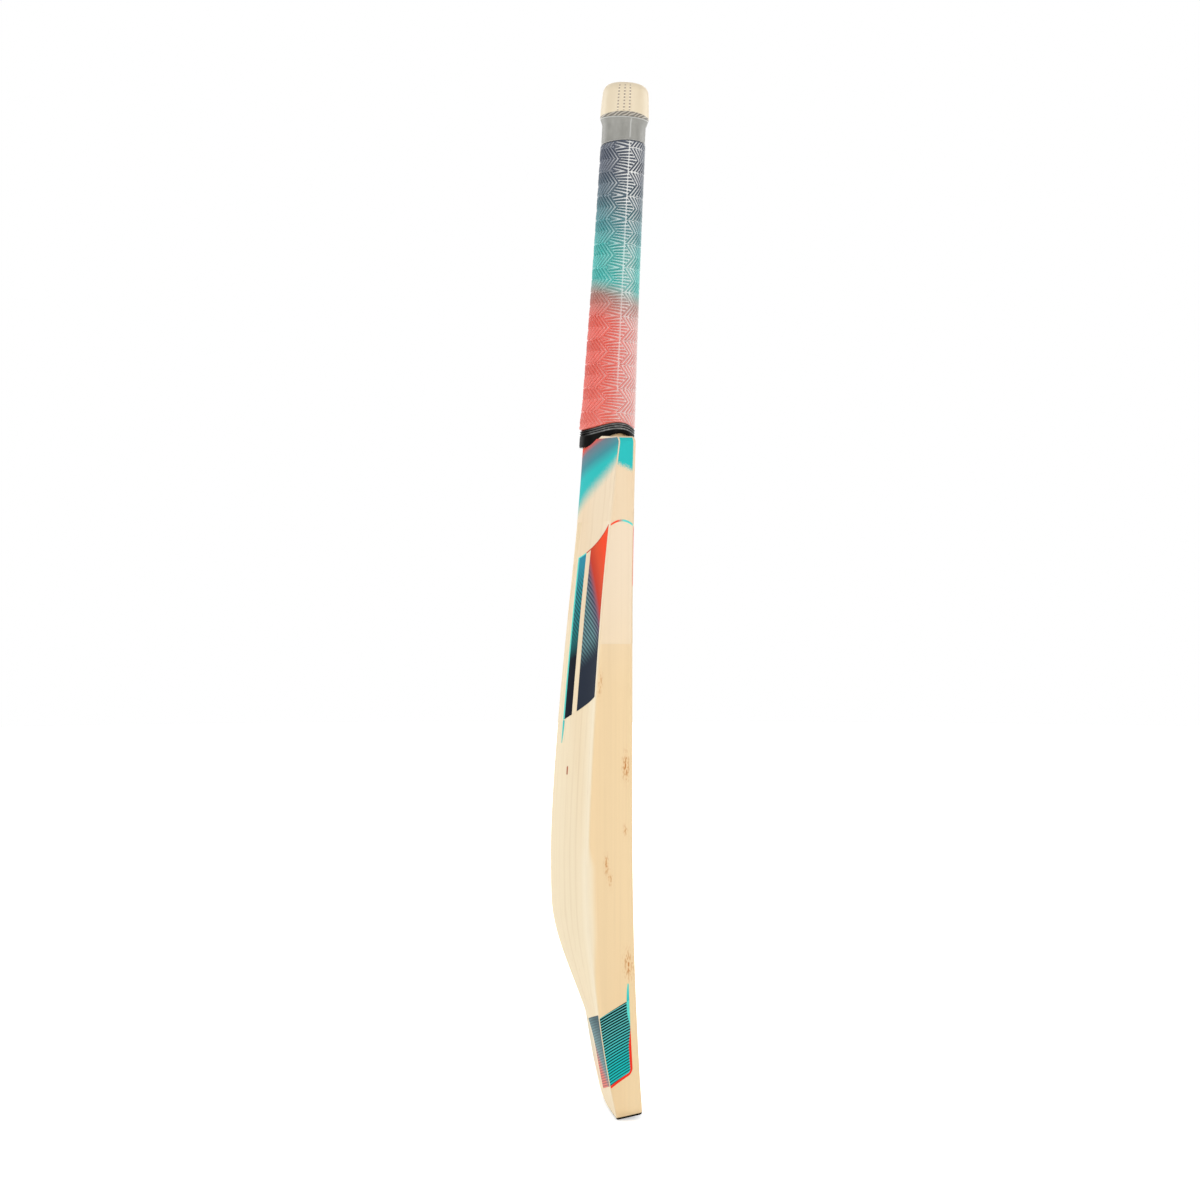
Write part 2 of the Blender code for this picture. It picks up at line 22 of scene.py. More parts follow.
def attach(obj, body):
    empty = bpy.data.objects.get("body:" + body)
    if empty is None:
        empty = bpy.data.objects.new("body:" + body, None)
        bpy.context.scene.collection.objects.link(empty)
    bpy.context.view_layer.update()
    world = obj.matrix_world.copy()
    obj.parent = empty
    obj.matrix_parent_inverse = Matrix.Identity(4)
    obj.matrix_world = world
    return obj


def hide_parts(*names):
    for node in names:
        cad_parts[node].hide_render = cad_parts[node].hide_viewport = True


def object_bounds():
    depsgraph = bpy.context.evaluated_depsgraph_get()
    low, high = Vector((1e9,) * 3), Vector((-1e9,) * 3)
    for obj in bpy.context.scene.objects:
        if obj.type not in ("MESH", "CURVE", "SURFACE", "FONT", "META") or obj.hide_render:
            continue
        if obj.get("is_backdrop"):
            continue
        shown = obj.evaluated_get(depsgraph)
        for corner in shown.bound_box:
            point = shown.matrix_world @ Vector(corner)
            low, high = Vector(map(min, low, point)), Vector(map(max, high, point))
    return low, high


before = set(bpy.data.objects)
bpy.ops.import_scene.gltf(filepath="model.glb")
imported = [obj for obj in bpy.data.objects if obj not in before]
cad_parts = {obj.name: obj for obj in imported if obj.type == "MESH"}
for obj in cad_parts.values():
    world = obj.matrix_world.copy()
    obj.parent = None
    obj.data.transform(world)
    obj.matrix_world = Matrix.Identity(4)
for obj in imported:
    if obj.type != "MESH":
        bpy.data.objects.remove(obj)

log = logging.getLogger("cricket_bat")

Pair = tuple[float, float]
Spot = Callable[[int, int], Vector]
Mark = Callable[[int, int], float]
Place = Callable[[float, float], Vector]

BODY = "root"
MERGE = 1e-7
CREASE = math.radians(38)
GAP = 0.0003
HALVINGS = 24


def blend(start: float, end: float, share: float) -> float:
    """The value that share of the way from start to end, held between the two."""
    return start + (end - start) * min(max(share, 0.0), 1.0)


def along_pair(ends: Pair, share: float) -> float:
    """The value that share of the way between two ends, or past them."""
    return ends[0] + (ends[1] - ends[0]) * share


def smooth(share: float) -> float:
    """Eases a share in and out."""
    share = min(max(share, 0.0), 1.0)
    return share * share * (3 - 2 * share)


def bell(distance: float, reach: float) -> float:
    """A soft hump: 1 at no distance, close to 0 past twice the reach."""
    return math.exp(-((distance / reach) ** 2))


def turn_of(column: int, columns: int) -> float:
    """The angle of a column of a tube."""
    return 2 * math.pi * column / columns


def bend(start: Pair, corner: Pair, end: Pair, share: float) -> Pair:
    """A point of the curve that rounds a corner.

    Args:
        start: Where the curve starts.
        corner: The sharp corner that it rounds.
        end: Where the curve ends.
        share: How far along the curve the point is.

    Returns:
        The point.
    """
    weights = ((1 - share) ** 2, 2 * share * (1 - share), share * share)
    across, back = (sum(w * p[i] for w, p in zip(weights, (start, corner, end))) for i in (0, 1))
    return across, back


def last_share(before: Callable[[float], bool]) -> float:
    """Finds where a test stops being true, by halving.

    Args:
        before: Says whether a share, from 0 to 1, lies before that place.

    Returns:
        The share.
    """
    low, high = 0.0, 1.0
    for _ in range(HALVINGS):
        middle = (low + high) / 2
        low, high = (middle, high) if before(middle) else (low, middle)
    return low


class Side(Enum):
    """The two edges of the blade."""

    LEFT = -1
    RIGHT = 1


class Cut(Enum):
    """Ways in which one solid changes another."""

    KEEP_INSIDE = "INTERSECT"
    TAKE_AWAY = "DIFFERENCE"
    JOIN = "UNION"


class Tint(Enum):
    """Colours as they look, 0 to 255 a channel."""

    CREAM_WILLOW = (242, 226, 195)
    PALE_WILLOW = (247, 236, 212)
    TAN_WILLOW = (238, 211, 168)
    HONEY_WILLOW = (230, 193, 144)
    ROSY_WILLOW = (237, 216, 189)
    LATE_GRAIN = (206, 178, 138)
    FLECK = (192, 120, 54)
    RUST = (170, 84, 52)
    CANE = (236, 214, 176)
    CANE_DARK = (218, 190, 146)
    CANE_PAINTED_LIGHT = (254, 228, 186)
    SPRING = (58, 50, 45)
    THREAD = (226, 214, 186)
    THREAD_SHADE = (170, 156, 126)
    CUFF = (229, 213, 184)
    CUFF_SHADE = (214, 192, 158)
    CUFF_LINE = (128, 110, 104)
    BAND = (118, 112, 103)
    BAND_LINE = (208, 201, 186)
    RING = (144, 143, 137)
    RING_SCUFF = (176, 174, 167)
    SLATE = (46, 62, 88)
    STEEL = (46, 92, 110)
    SEA = (44, 146, 152)
    TEAL = (40, 184, 176)
    DUSK = (170, 116, 104)
    CORAL = (224, 86, 68)
    ROSE = (230, 100, 84)
    PALE_RIB = (226, 226, 222)
    BLACK = (17, 16, 15)
    BLACK_WORN = (44, 41, 39)
    RIDGE_HIGHLIGHT = (168, 170, 170)
    NAVY = (40, 47, 60)
    MIDNIGHT = (20, 24, 35)
    INK = (3, 31, 35)
    HOT_CORAL = (243, 76, 42)
    BRICK = (196, 64, 48)
    EMBER = (222, 82, 50)
    LINE_RED = (234, 56, 40)
    VIOLET = (112, 104, 124)
    MAUVE = (114, 126, 138)
    BLUE_SLATE = (70, 146, 156)
    LAGOON = (48, 138, 162)
    BRIGHT_TEAL = (50, 190, 188)
    LINE_TEAL = (92, 216, 204)
    DEEP_TEAL = (34, 122, 124)
    MIST_TEAL = (104, 196, 190)
    PANEL_TEAL = (38, 188, 184)
    PANEL_SLATE = (104, 146, 150)
    PANEL_DUSK = (60, 92, 98)
    PANEL_ROSE = (226, 117, 104)
    HAZE = (243, 234, 222)
    FLOOR = (250, 250, 250)

    @property
    def linear(self) -> tuple[float, float, float, float]:
        """The colour as a shader takes it."""
        shares = (channel / 255 for channel in self.value)
        return (*(s / 12.92 if s <= 0.04045 else ((s + 0.055) / 1.055) ** 2.4 for s in shares), 1.0)


@dataclass(frozen=True)
class BladeShape:
    """The blade's surface, worked out from its sizes."""

    length: float = 0.5575
    width: float = 0.108
    shoulder_radius: float = 0.006
    shoulder_rise: float = 0.0022
    shoulder_roll: float = 0.0010
    least_reach: float = 0.004
    toe_radius: float = 0.012
    toe_slope: float = math.radians(11.0)
    toe_slope_fade: float = 0.080
    guard_thickness: float = 0.0028
    edge_at_toe: float = 0.0203
    edge_at_swell: float = 0.0363
    edge_at_shoulder: float = 0.0131
    edge_fall_up: float = 1.4
    edge_fall_down: float = 2.3
    ridge_at_toe: float = 0.0014
    ridge_at_swell: float = 0.02566
    ridge_dip: float = 0.0034
    ridge_drop_top: float = 0.1765
    ridge_drop_foot: float = 0.0495
    face_crown: float = 0.0035
    face_plane: float = -0.0012
    back_corner: float = 0.0018
    corner_ease: float = 0.0034
    ease_heights: Pair = (0.098, 0.228)
    ease_fades: Pair = (0.060, 0.024)
    face_corner: float = 0.003
    flank_foot_slope: float = 0.6
    flank_crest_slope: float = 0.15
    swell_height: float = 0.2095
    toe_bow: float = 0.0083
    toe_bow_start: float = 0.2645
    toe_bow_power: float = 2.2
    shoulder_bow: float = 0.0029
    shoulder_bow_length: float = 0.146
    shoulder_bow_power: float = 1.5
    cane_depth: float = 0.0376
    cane_cover: float = 0.0013

    @property
    def half(self) -> float:
        """Half the blade's width."""
        return self.width / 2

    @cached_property
    def handle_back(self) -> float:
        """How far back the handle's axis leaves the blade."""
        return self.face_side(self.length) - self.face_crown + self.cane_cover + self.cane_depth / 2

    @cached_property
    def ridge_at_shoulder(self) -> float:
        """How far the spine stands out past the edges at the shoulders."""
        crest = self.handle_back + self.cane_depth / 2 + self.cane_cover
        return crest - self.face_side(self.length) - self.edge_at_shoulder

    def face_side(self, height: float) -> float:
        """How far back the face's two sides lie at a height.

        Args:
            height: Height above the toe.

        Returns:
            The distance along Y.
        """
        below = max(self.toe_bow_start - height, 0.0) / self.toe_bow_start
        bow_top = self.length - self.shoulder_bow_length
        above = max(height - bow_top, 0.0) / self.shoulder_bow_length
        bow = self.toe_bow * below**self.toe_bow_power
        return self.face_plane - bow - self.shoulder_bow * above**self.shoulder_bow_power

    def above_swell(self, height: float) -> float:
        """The share of the way up from the swell to the shoulders."""
        return max(height - self.swell_height, 0.0) / (self.length - self.swell_height)

    def edge_thickness(self, height: float) -> float:
        """The thickness of the blade's edges at a height.

        Args:
            height: Height above the toe.

        Returns:
            The thickness, from face to back.
        """
        below = max(self.swell_height - height, 0.0) / self.swell_height
        up = (self.edge_at_swell - self.edge_at_shoulder) * self.above_swell(height) ** self.edge_fall_up
        return self.edge_at_swell - up - (self.edge_at_swell - self.edge_at_toe) * below**self.edge_fall_down

    def ridge(self, height: float) -> float:
        """How far the spine stands out past the edges at a height.

        Args:
            height: Height above the toe.

        Returns:
            The distance along Y.
        """
        if height < self.swell_height:
            drop = (height - self.ridge_drop_foot) / (self.ridge_drop_top - self.ridge_drop_foot)
            return blend(self.ridge_at_toe, self.ridge_at_swell, smooth(drop))
        up = min(self.above_swell(height), 1.0)
        dip = self.ridge_dip * math.sin(math.pi * up * up)
        return blend(self.ridge_at_swell, self.ridge_at_shoulder, up) - dip

    def flank_rise(self, share: float) -> float:
        """The rise of a flank from the edge to the spine.

        Args:
            share: How far in it is, 0 at the edge and 1 at the spine.

        Returns:
            The share of the spine's height.
        """
        foot = (share**3 - 2 * share**2 + share) * self.flank_foot_slope
        crest = (share**3 - share**2) * self.flank_crest_slope
        return foot + crest - 2 * share**3 + 3 * share**2

    def face_back(self, across: float, height: float) -> float:
        """How far back the face lies."""
        return self.face_side(height) - self.face_crown * (1 - (across / self.half) ** 2)

    def spine_back(self, across: float, height: float) -> float:
        """How far back the flanks lie."""
        rise = self.ridge(height) * self.flank_rise(1 - abs(across) / self.half)
        return self.face_side(height) + self.edge_thickness(height) + rise

    def half_width(self, height: float) -> float:
        """Half the width, with the round corners of the toe and the shoulders.

        Args:
            height: Height above the toe.

        Returns:
            The distance from the middle to an edge.
        """
        low = max(self.toe_radius - height, 0.0)
        high = max(height - (self.length - self.shoulder_radius), 0.0)
        toe_cut = self.toe_radius - math.sqrt(max(self.toe_radius**2 - low**2, 0.0))
        shoulder_cut = self.shoulder_radius - math.sqrt(max(self.shoulder_radius**2 - high**2, 0.0))
        return self.half - toe_cut - shoulder_cut

    def point(self, across: float, back: float, height: float) -> Vector:
        """A point of the section at a height, which slopes near the toe as the underside does.

        Args:
            across: Distance from the middle, along X.
            back: Distance back, along Y.
            height: Height of the section above the toe.

        Returns:
            The point in the bat's frame.
        """
        level = smooth((height - self.guard_thickness) / (self.toe_slope_fade - self.guard_thickness))
        return Vector((across, back, height - back * math.tan(self.toe_slope) * (1 - level)))

    def eased(self, height: float) -> float:
        """How far the corner between a flank and an edge is eased, from 0 to 1."""
        (low, high), (low_fade, high_fade) = self.ease_heights, self.ease_fades
        return smooth((height - low) / low_fade) * smooth((high - height) / high_fade)

    def back_round(self, height: float) -> float:
        """The radius of the corner between a flank and an edge."""
        return self.back_corner + self.corner_ease * self.eased(height)

    def corner(self, height: float, half: float, behind: bool) -> tuple[Pair, Pair, Pair]:
        """The curve that rounds an edge.

        Args:
            height: Height above the toe.
            half: Half the section's width.
            behind: Whether it is beside the back, and not beside the face.

        Returns:
            Its start on the broad side, its corner and its end on the edge, each across and back.
        """
        radius = self.back_round(height) if behind else self.face_corner
        side = self.spine_back if behind else self.face_back
        inward, outer = half - radius, side(half, height)
        end = outer - radius if behind else outer + radius
        return (inward, side(inward, height)), (half, outer), (half, end)

    def edge_across(self, back: float, height: float) -> float:
        """How far out an edge lies, its corners rounded.

        Args:
            back: Distance back, along Y.
            height: Height above the toe.

        Returns:
            The distance along X.
        """
        half = self.half_width(height)
        for behind, sign in ((True, 1), (False, -1)):
            curve = self.corner(height, half, behind)
            if (back - curve[-1][1]) * sign > 0:
                share = last_share(lambda t: (bend(*curve, t)[1] - back) * sign > 0)
                return bend(*curve, share)[0]
        return half

    def broad_back(self, across: float, height: float, behind: bool) -> float:
        """How far back the back or the face lies, its corners rounded.

        Args:
            across: Distance from the middle, along X.
            height: Height above the toe.
            behind: Whether it is the back, and not the face.

        Returns:
            The distance along Y.
        """
        curve = self.corner(height, self.half_width(height), behind)
        if abs(across) <= curve[0][0]:
            return self.spine_back(across, height) if behind else self.face_back(across, height)
        return bend(*curve, last_share(lambda t: bend(*curve, t)[0] < abs(across)))[1]

    def rolled(self, height: float) -> float:
        """How far the face and the back roll in at the top of the shoulders."""
        share = (height - (self.length - self.shoulder_radius)) / self.shoulder_radius
        return self.shoulder_roll * (1 - math.sqrt(max(1 - min(max(share, 0.0), 1.0) ** 2, 0.0)))

    def skin(self, across: float, back: float, height: float) -> Vector:
        """A point of the surface, moved in where the top of the shoulders rolls over.

        Args:
            across: Distance from the middle, along X.
            back: Distance back, along Y, before it is moved.
            height: Height above the toe.

        Returns:
            The point in the bat's frame.
        """
        middle = (self.face_side(height) + self.spine_back(0.0, height)) / 2
        reach = abs(self.spine_back(across, height) - self.face_back(across, height)) / 2
        back = middle + (back - middle) * max(1 - self.rolled(height) / max(reach, self.least_reach), 0.0)
        return self.point(across, back, height)


@dataclass(frozen=True)
class SectionSteps:
    """How many steps each stretch of half a blade section is drawn in."""

    flank: int = 26
    corner: int = 6
    edge: int = 22
    face: int = 20

    @property
    def half(self) -> int:
        """Steps from the spine round to the middle of the face."""
        return self.flank + 2 * self.corner + self.edge + self.face

    def from_spine(self, column: int) -> int:
        """How many steps from the spine a column of a whole section is."""
        return min(column, 2 * self.half - column)

    def place(self, shape: BladeShape, column: int, height: float, half: float) -> Pair:
        """A point of a section.

        Args:
            shape: The blade's surface.
            column: Which step it is, counted from the spine to the right and on round.
            height: Height of the section.
            half: Half the section's width.

        Returns:
            Its distances across and back.
        """
        step, side = self.from_spine(column), 1 if column <= self.half else -1
        behind, before = (shape.corner(height, half, is_back) for is_back in (True, False))
        flank, bent, edge, last = accumulate((self.flank, self.corner, self.edge, self.corner))
        if step < flank:
            across = behind[0][0] * step / self.flank
            back = shape.spine_back(across, height)
        elif step <= bent:
            across, back = bend(*behind, (step - flank) / self.corner)
        elif step < edge:
            across, back = half, blend(behind[2][1], before[2][1], (step - bent) / self.edge)
        elif step <= last:
            across, back = bend(*reversed(before), (step - edge) / self.corner)
        else:
            across = before[0][0] * (1 - (step - last) / self.face)
            back = shape.face_back(across, height)
        return side * across, back


@dataclass(frozen=True)
class HandleShape:
    """The handle's axis and its oval, worked out from their sizes."""

    blade: BladeShape
    length: float = 0.289
    base_rise: float = 0.009
    tilt: float = math.radians(3.15)
    base_depth: float = 0.0376
    base_width: float = 0.0330
    top_depth: float = 0.0292
    top_width: float = 0.0280
    straight: float = 0.051
    sleeve_walls: float = 0.0038
    bore: float = 0.0014
    collar_foot: tuple[float, float, float, float] = (-0.0087, 0.0017, 0.0076, 0.0012)
    collar_top: tuple[float, float, float, float] = (0.0017, 0.0023, 0.0027, 0.0009)
    collar_proud: float = 0.0004
    seat_slope: Pair = (0.010, 0.0035)

    @property
    def collar_lowest(self) -> float:
        """A level along the axis that no part of the collar reaches below."""
        return self.collar_foot[0] - sum(self.collar_foot[1:])

    @property
    def base(self) -> Vector:
        """Where the axis starts, a little above the shoulders."""
        return Vector((0.0, self.blade.handle_back, self.blade.length + self.base_rise))

    @property
    def axis(self) -> Vector:
        """The direction of the handle."""
        return Vector((0.0, -math.sin(self.tilt), math.cos(self.tilt)))

    @property
    def backwards(self) -> Vector:
        """The direction across the handle, towards the spine's side."""
        return Vector((0.0, math.cos(self.tilt), math.sin(self.tilt)))

    def half_size(self, along: float) -> Pair:
        """Half the cane's width and half its depth.

        Args:
            along: Distance along the axis, from its base.

        Returns:
            The two sizes.
        """
        share = along / (self.length - self.straight)
        wide = blend(self.base_width, self.top_width, share) / 2
        return wide, blend(self.base_depth, self.top_depth, share) / 2

    def spot(self, turn: float, along: float, outside: float, size_at: float | None = None) -> Vector:
        """A point of an oval round the axis.

        Args:
            turn: Angle round the axis, from the right edge's side towards the back.
            along: Distance along the axis, from its base.
            outside: Distance outside the cane.
            size_at: Where along the axis the cane's size is read, if not at along.

        Returns:
            The point in the bat's frame.
        """
        wide, deep = self.half_size(along if size_at is None else size_at)
        sideways = Vector(((wide + outside) * math.cos(turn), 0.0, 0.0))
        return self.base + sideways + self.backwards * (deep + outside) * math.sin(turn) + self.axis * along

    @staticmethod
    def saddle(line: tuple[float, float, float, float], turn: float) -> float:
        """How far along the axis a saddle-shaped line lies at a turn."""
        along, sway, lean, bend = line
        return along + sway * math.cos(2 * turn) - lean * math.sin(turn) - bend * math.sin(3 * turn)

    @property
    def collar_rim(self) -> float:
        """How far outside the cane the collar's seat ends."""
        return self.sleeve_walls + self.collar_proud + GAP

    def seat_height(self, across: float, back: float) -> float:
        """The height of the collar's seat, and of the slope cut round it.

        Args:
            across: Distance from the middle, along X.
            back: Distance back, along Y.

        Returns:
            The height above the toe.
        """
        wide, deep = (size + self.collar_rim for size in self.half_size(0.0))
        off = back - self.base.y
        turn = math.atan2(off / deep, across / wide)
        outside = (math.hypot(off / deep, across / wide) - 1) * (wide + deep) / 2
        rise = max(outside, 0.0) * self.seat_slope[1] / self.seat_slope[0]
        return self.base.z + self.saddle(self.collar_foot, turn) + off * self.backwards.z + rise


def tube(columns: int, rows: int, spot: Spot, marks: dict[str, Mark] | None = None) -> BMesh:
    """Wraps a grid round so that its two long sides meet and merge.

    Args:
        columns: Steps round the tube.
        rows: Steps along it. Where the last row lies on the first, the tube closes on itself.
        spot: Gives the place of each column and row.
        marks: Values kept at each point, by name.

    Returns:
        The mesh, open at its two ends.
    """
    bm = bmesh.new()
    bmesh.ops.create_grid(bm, x_segments=columns, y_segments=rows, size=0.5)
    layers = {name: bm.verts.layers.float.new(name) for name in marks or {}}
    for vert in bm.verts:
        column = round((vert.co.x + 0.5) * columns) % columns
        row = round((vert.co.y + 0.5) * rows)
        for name, layer in layers.items():
            vert[layer] = marks[name](column, row)
        vert.co = spot(column, row)
    bmesh.ops.remove_doubles(bm, verts=bm.verts[:], dist=MERGE)
    return bm


def close_ends(bm: BMesh) -> BMesh:
    """Fills the open ends of a tube."""
    bmesh.ops.holes_fill(bm, edges=[edge for edge in bm.edges if edge.is_boundary])
    return bm


def new_piece(name: str, bm: BMesh, material: Material | None) -> Object:
    """Makes an object of a mesh, with its faces outwards and its creases sharp.

    Args:
        name: The piece's name.
        bm: Its mesh, which is freed.
        material: Its finish, or none for a cutter.

    Returns:
        The new object, at the origin.
    """
    bmesh.ops.recalc_face_normals(bm, faces=bm.faces[:])
    mesh = bpy.data.meshes.new(name)
    bm.to_mesh(mesh)
    bm.free()
    piece = bpy.data.objects.new(name, mesh)
    bpy.context.scene.collection.objects.link(piece)
    if material:
        dress(piece, material)
    return piece


def dress(piece: Object, material: Material) -> None:
    """Gives a piece its one finish, and shades it smooth between its creases.

    Args:
        piece: The piece.
        material: Its finish.
    """
    piece.data.materials.clear()
    piece.data.materials.append(material)
    piece.data.shade_smooth()
    piece.data.set_sharp_from_angle(angle=CREASE)


def carve(piece: Object, tool: Object, cut: Cut) -> None:
    """Cuts a piece with another solid, for good.

    Args:
        piece: The piece that changes.
        tool: The other solid, which is left as it is.
        cut: What the other solid does to it.
    """
    modifier = piece.modifiers.new("carve", "BOOLEAN")
    modifier.operation = cut.value
    modifier.solver = "MANIFOLD"
    modifier.object = tool
    carved = bpy.data.meshes.new_from_object(piece.evaluated_get(bpy.context.evaluated_depsgraph_get()))
    piece.modifiers.clear()
    raw = piece.data
    piece.data = carved
    bpy.data.meshes.remove(raw)
    carved.name = piece.name


def discard(piece: Object) -> None:
    """Removes a cutter and its mesh.

    Args:
        piece: The cutter.
    """
    mesh = piece.data
    bpy.data.objects.remove(piece, do_unlink=True)
    bpy.data.meshes.remove(mesh)


def settle(piece: Object, slot: str, *nodes: str) -> Object:
    """Fixes a finished piece to the bat.

    Args:
        piece: The finished piece.
        slot: The record's material slot; not used.
        nodes: The solids that it stands for.

    Returns:
        The same piece.
    """
    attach(piece, BODY)
    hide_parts(*nodes)
    log.info("%s: %d faces, for %s", piece.name, len(piece.data.polygons), ", ".join(nodes))
    return piece


@dataclass(frozen=True, eq=False)
class Wire:
    """A value that runs between the nodes of a material. Arithmetic with it adds nodes."""

    kit: "NodeKit"
    socket: NodeSocket

    def __add__(self, other: object) -> "Wire":
        """The sum of two values."""
        return self.kit.math("ADD", self, other)

    def __sub__(self, other: object) -> "Wire":
        """The first value less the second."""
        return self.kit.math("SUBTRACT", self, other)

    def __rsub__(self, other: object) -> "Wire":
        """A number less the value."""
        return self.kit.math("SUBTRACT", other, self)

    def __mul__(self, other: object) -> "Wire":
        """The product of two values."""
        return self.kit.math("MULTIPLY", self, other)

    def __truediv__(self, other: object) -> "Wire":
        """The first value over the second."""
        return self.kit.math("DIVIDE", self, other)

    def __abs__(self) -> "Wire":
        """The value without its sign."""
        return self.kit.math("ABSOLUTE", self)

    __radd__, __rmul__ = __add__, __mul__

    def fract(self) -> "Wire":
        """How far the value is past a whole number."""
        return self.kit.math("FRACT", self)

    def at_least(self, other: object) -> "Wire":
        """The larger of two values."""
        return self.kit.math("MAXIMUM", self, other)

    def rise(self, low: object, high: object) -> "Wire":
        """Goes softly from 0 to 1 as the value goes from low to high."""
        return self.kit.rise(self, low, high)

    def between(self, up: Pair, down: Pair) -> "Wire":
        """Goes softly up over one stretch of the value, and down again over another."""
        return self.rise(*up) * self.rise(*down)


class NodeKit:
    """Adds and joins the nodes of one material."""

    def __init__(self, name: str, roughness: float, specular: float = 0.5, bending: float = 1.45) -> None:
        """Starts a material.

        Args:
            name: The material's name.
            roughness: Its roughness.
            specular: Its specular level.
            bending: Its index of refraction, low where it hardly shines at a glancing angle.
        """
        self.material = bpy.data.materials.new(name)
        self.material.use_nodes = True
        self.tree = self.material.node_tree
        self.shader = self.tree.nodes["Principled BSDF"]
        for socket, value in {"Roughness": roughness, "Specular IOR Level": specular, "IOR": bending}.items():
            self.feed(self.shader.inputs[socket], value)
        self.places = Wire(self, self.node("ShaderNodeTexCoord").outputs["Object"])
        split = self.node("ShaderNodeSeparateXYZ", {0: self.places})
        self.x, self.y, self.z = (Wire(self, socket) for socket in split.outputs)

    @classmethod
    def matt(cls, name: str, roughness: float) -> "NodeKit":
        """Starts the material of bare wood or of a print on it, with little shine."""
        return cls(name, roughness, specular=0.2, bending=1.12)

    def node(self, kind: str, inputs: dict[int | str, object] | None = None, **settings: object) -> Node:
        """Adds a node.

        Args:
            kind: What kind of node it is.
            inputs: What its sockets take, by number or name.
            settings: Some of its settings, by name.

        Returns:
            The node.
        """
        node = self.tree.nodes.new(kind)
        for name, value in settings.items():
            setattr(node, name, value)
        for socket, value in (inputs or {}).items():
            self.feed(node.inputs[socket], value)
        return node

    def feed(self, socket: NodeSocket, value: object) -> None:
        """Links a value to a socket, or sets the socket's own value.

        Args:
            socket: The input.
            value: A wire, a tint or plain numbers.
        """
        if isinstance(value, Wire):
            self.tree.links.new(value.socket, socket)
        else:
            socket.default_value = value.linear if isinstance(value, Tint) else value

    def math(self, operation: str, *values: object) -> Wire:
        """Works out one value from others."""
        node = self.node("ShaderNodeMath", dict(enumerate(values)), operation=operation)
        return Wire(self, node.outputs[0])

    def mix(self, share: object, first: object, second: object) -> Wire:
        """Mixes two colours, with that share of the second."""
        sockets = {0: share, 6: first, 7: second}
        return Wire(self, self.node("ShaderNodeMix", sockets, data_type="RGBA", clamp_factor=True).outputs[2])

    def rise(self, value: object, low: object, high: object, soft: bool = True) -> Wire:
        """Goes from 0 to 1 as a value goes from low to high.

        Args:
            value: The value.
            low: Where it starts.
            high: Where it ends, which may be the smaller of the two.
            soft: Whether it eases in and out.

        Returns:
            The share.
        """
        kind = "SMOOTHSTEP" if soft else "LINEAR"
        sockets = dict(enumerate((value, low, high, 0.0, 1.0)))
        node = self.node("ShaderNodeMapRange", sockets, interpolation_type=kind, clamp=True)
        return Wire(self, node.outputs[0])

    def ramp(self, share: Wire, *stops: tuple[float, Tint]) -> Wire:
        """Picks a colour from a row of them.

        Args:
            share: Where in the row it is.
            stops: The place and the tint of each colour.

        Returns:
            The colour.
        """
        node = self.node("ShaderNodeValToRGB", {0: share})
        row = node.color_ramp.elements
        while len(row) < len(stops):
            row.new(0.5)
        for element, (place, tint) in zip(row, stops):
            element.position = place
            element.color = tint.linear
        return Wire(self, node.outputs[0])

    def noise(self, detail: float, *spots: float) -> Wire:
        """Noise on the bat's own coordinates.

        Args:
            detail: How finely it is broken up.
            spots: How many spots a metre it has along X, Y and Z, or each way.

        Returns:
            The noise, from 0 to 1.
        """
        scale = spots if len(spots) == 3 else 3 * spots
        mapping = self.node("ShaderNodeMapping", {"Vector": self.places, "Scale": scale})
        sockets = {"Vector": Wire(self, mapping.outputs[0]), "Scale": 1.0, "Detail": detail}
        return Wire(self, self.node("ShaderNodeTexNoise", sockets).outputs["Fac"])

    def mark(self, name: str) -> Wire:
        """A value that the piece keeps at each point."""
        return Wire(self, self.node("ShaderNodeAttribute", attribute_name=name).outputs["Fac"])

    def bump(self, height: Wire, strength: float, distance: float) -> None:
        """Roughens the surface, so strongly and to so many metres."""
        node = self.node("ShaderNodeBump", {"Strength": strength, "Distance": distance, "Height": height})
        self.feed(self.shader.inputs["Normal"], Wire(self, node.outputs[0]))

    def finish(self, colour: Wire) -> Material:
        """Sets the colour and gives the material."""
        self.feed(self.shader.inputs["Base Color"], colour)
        return self.material


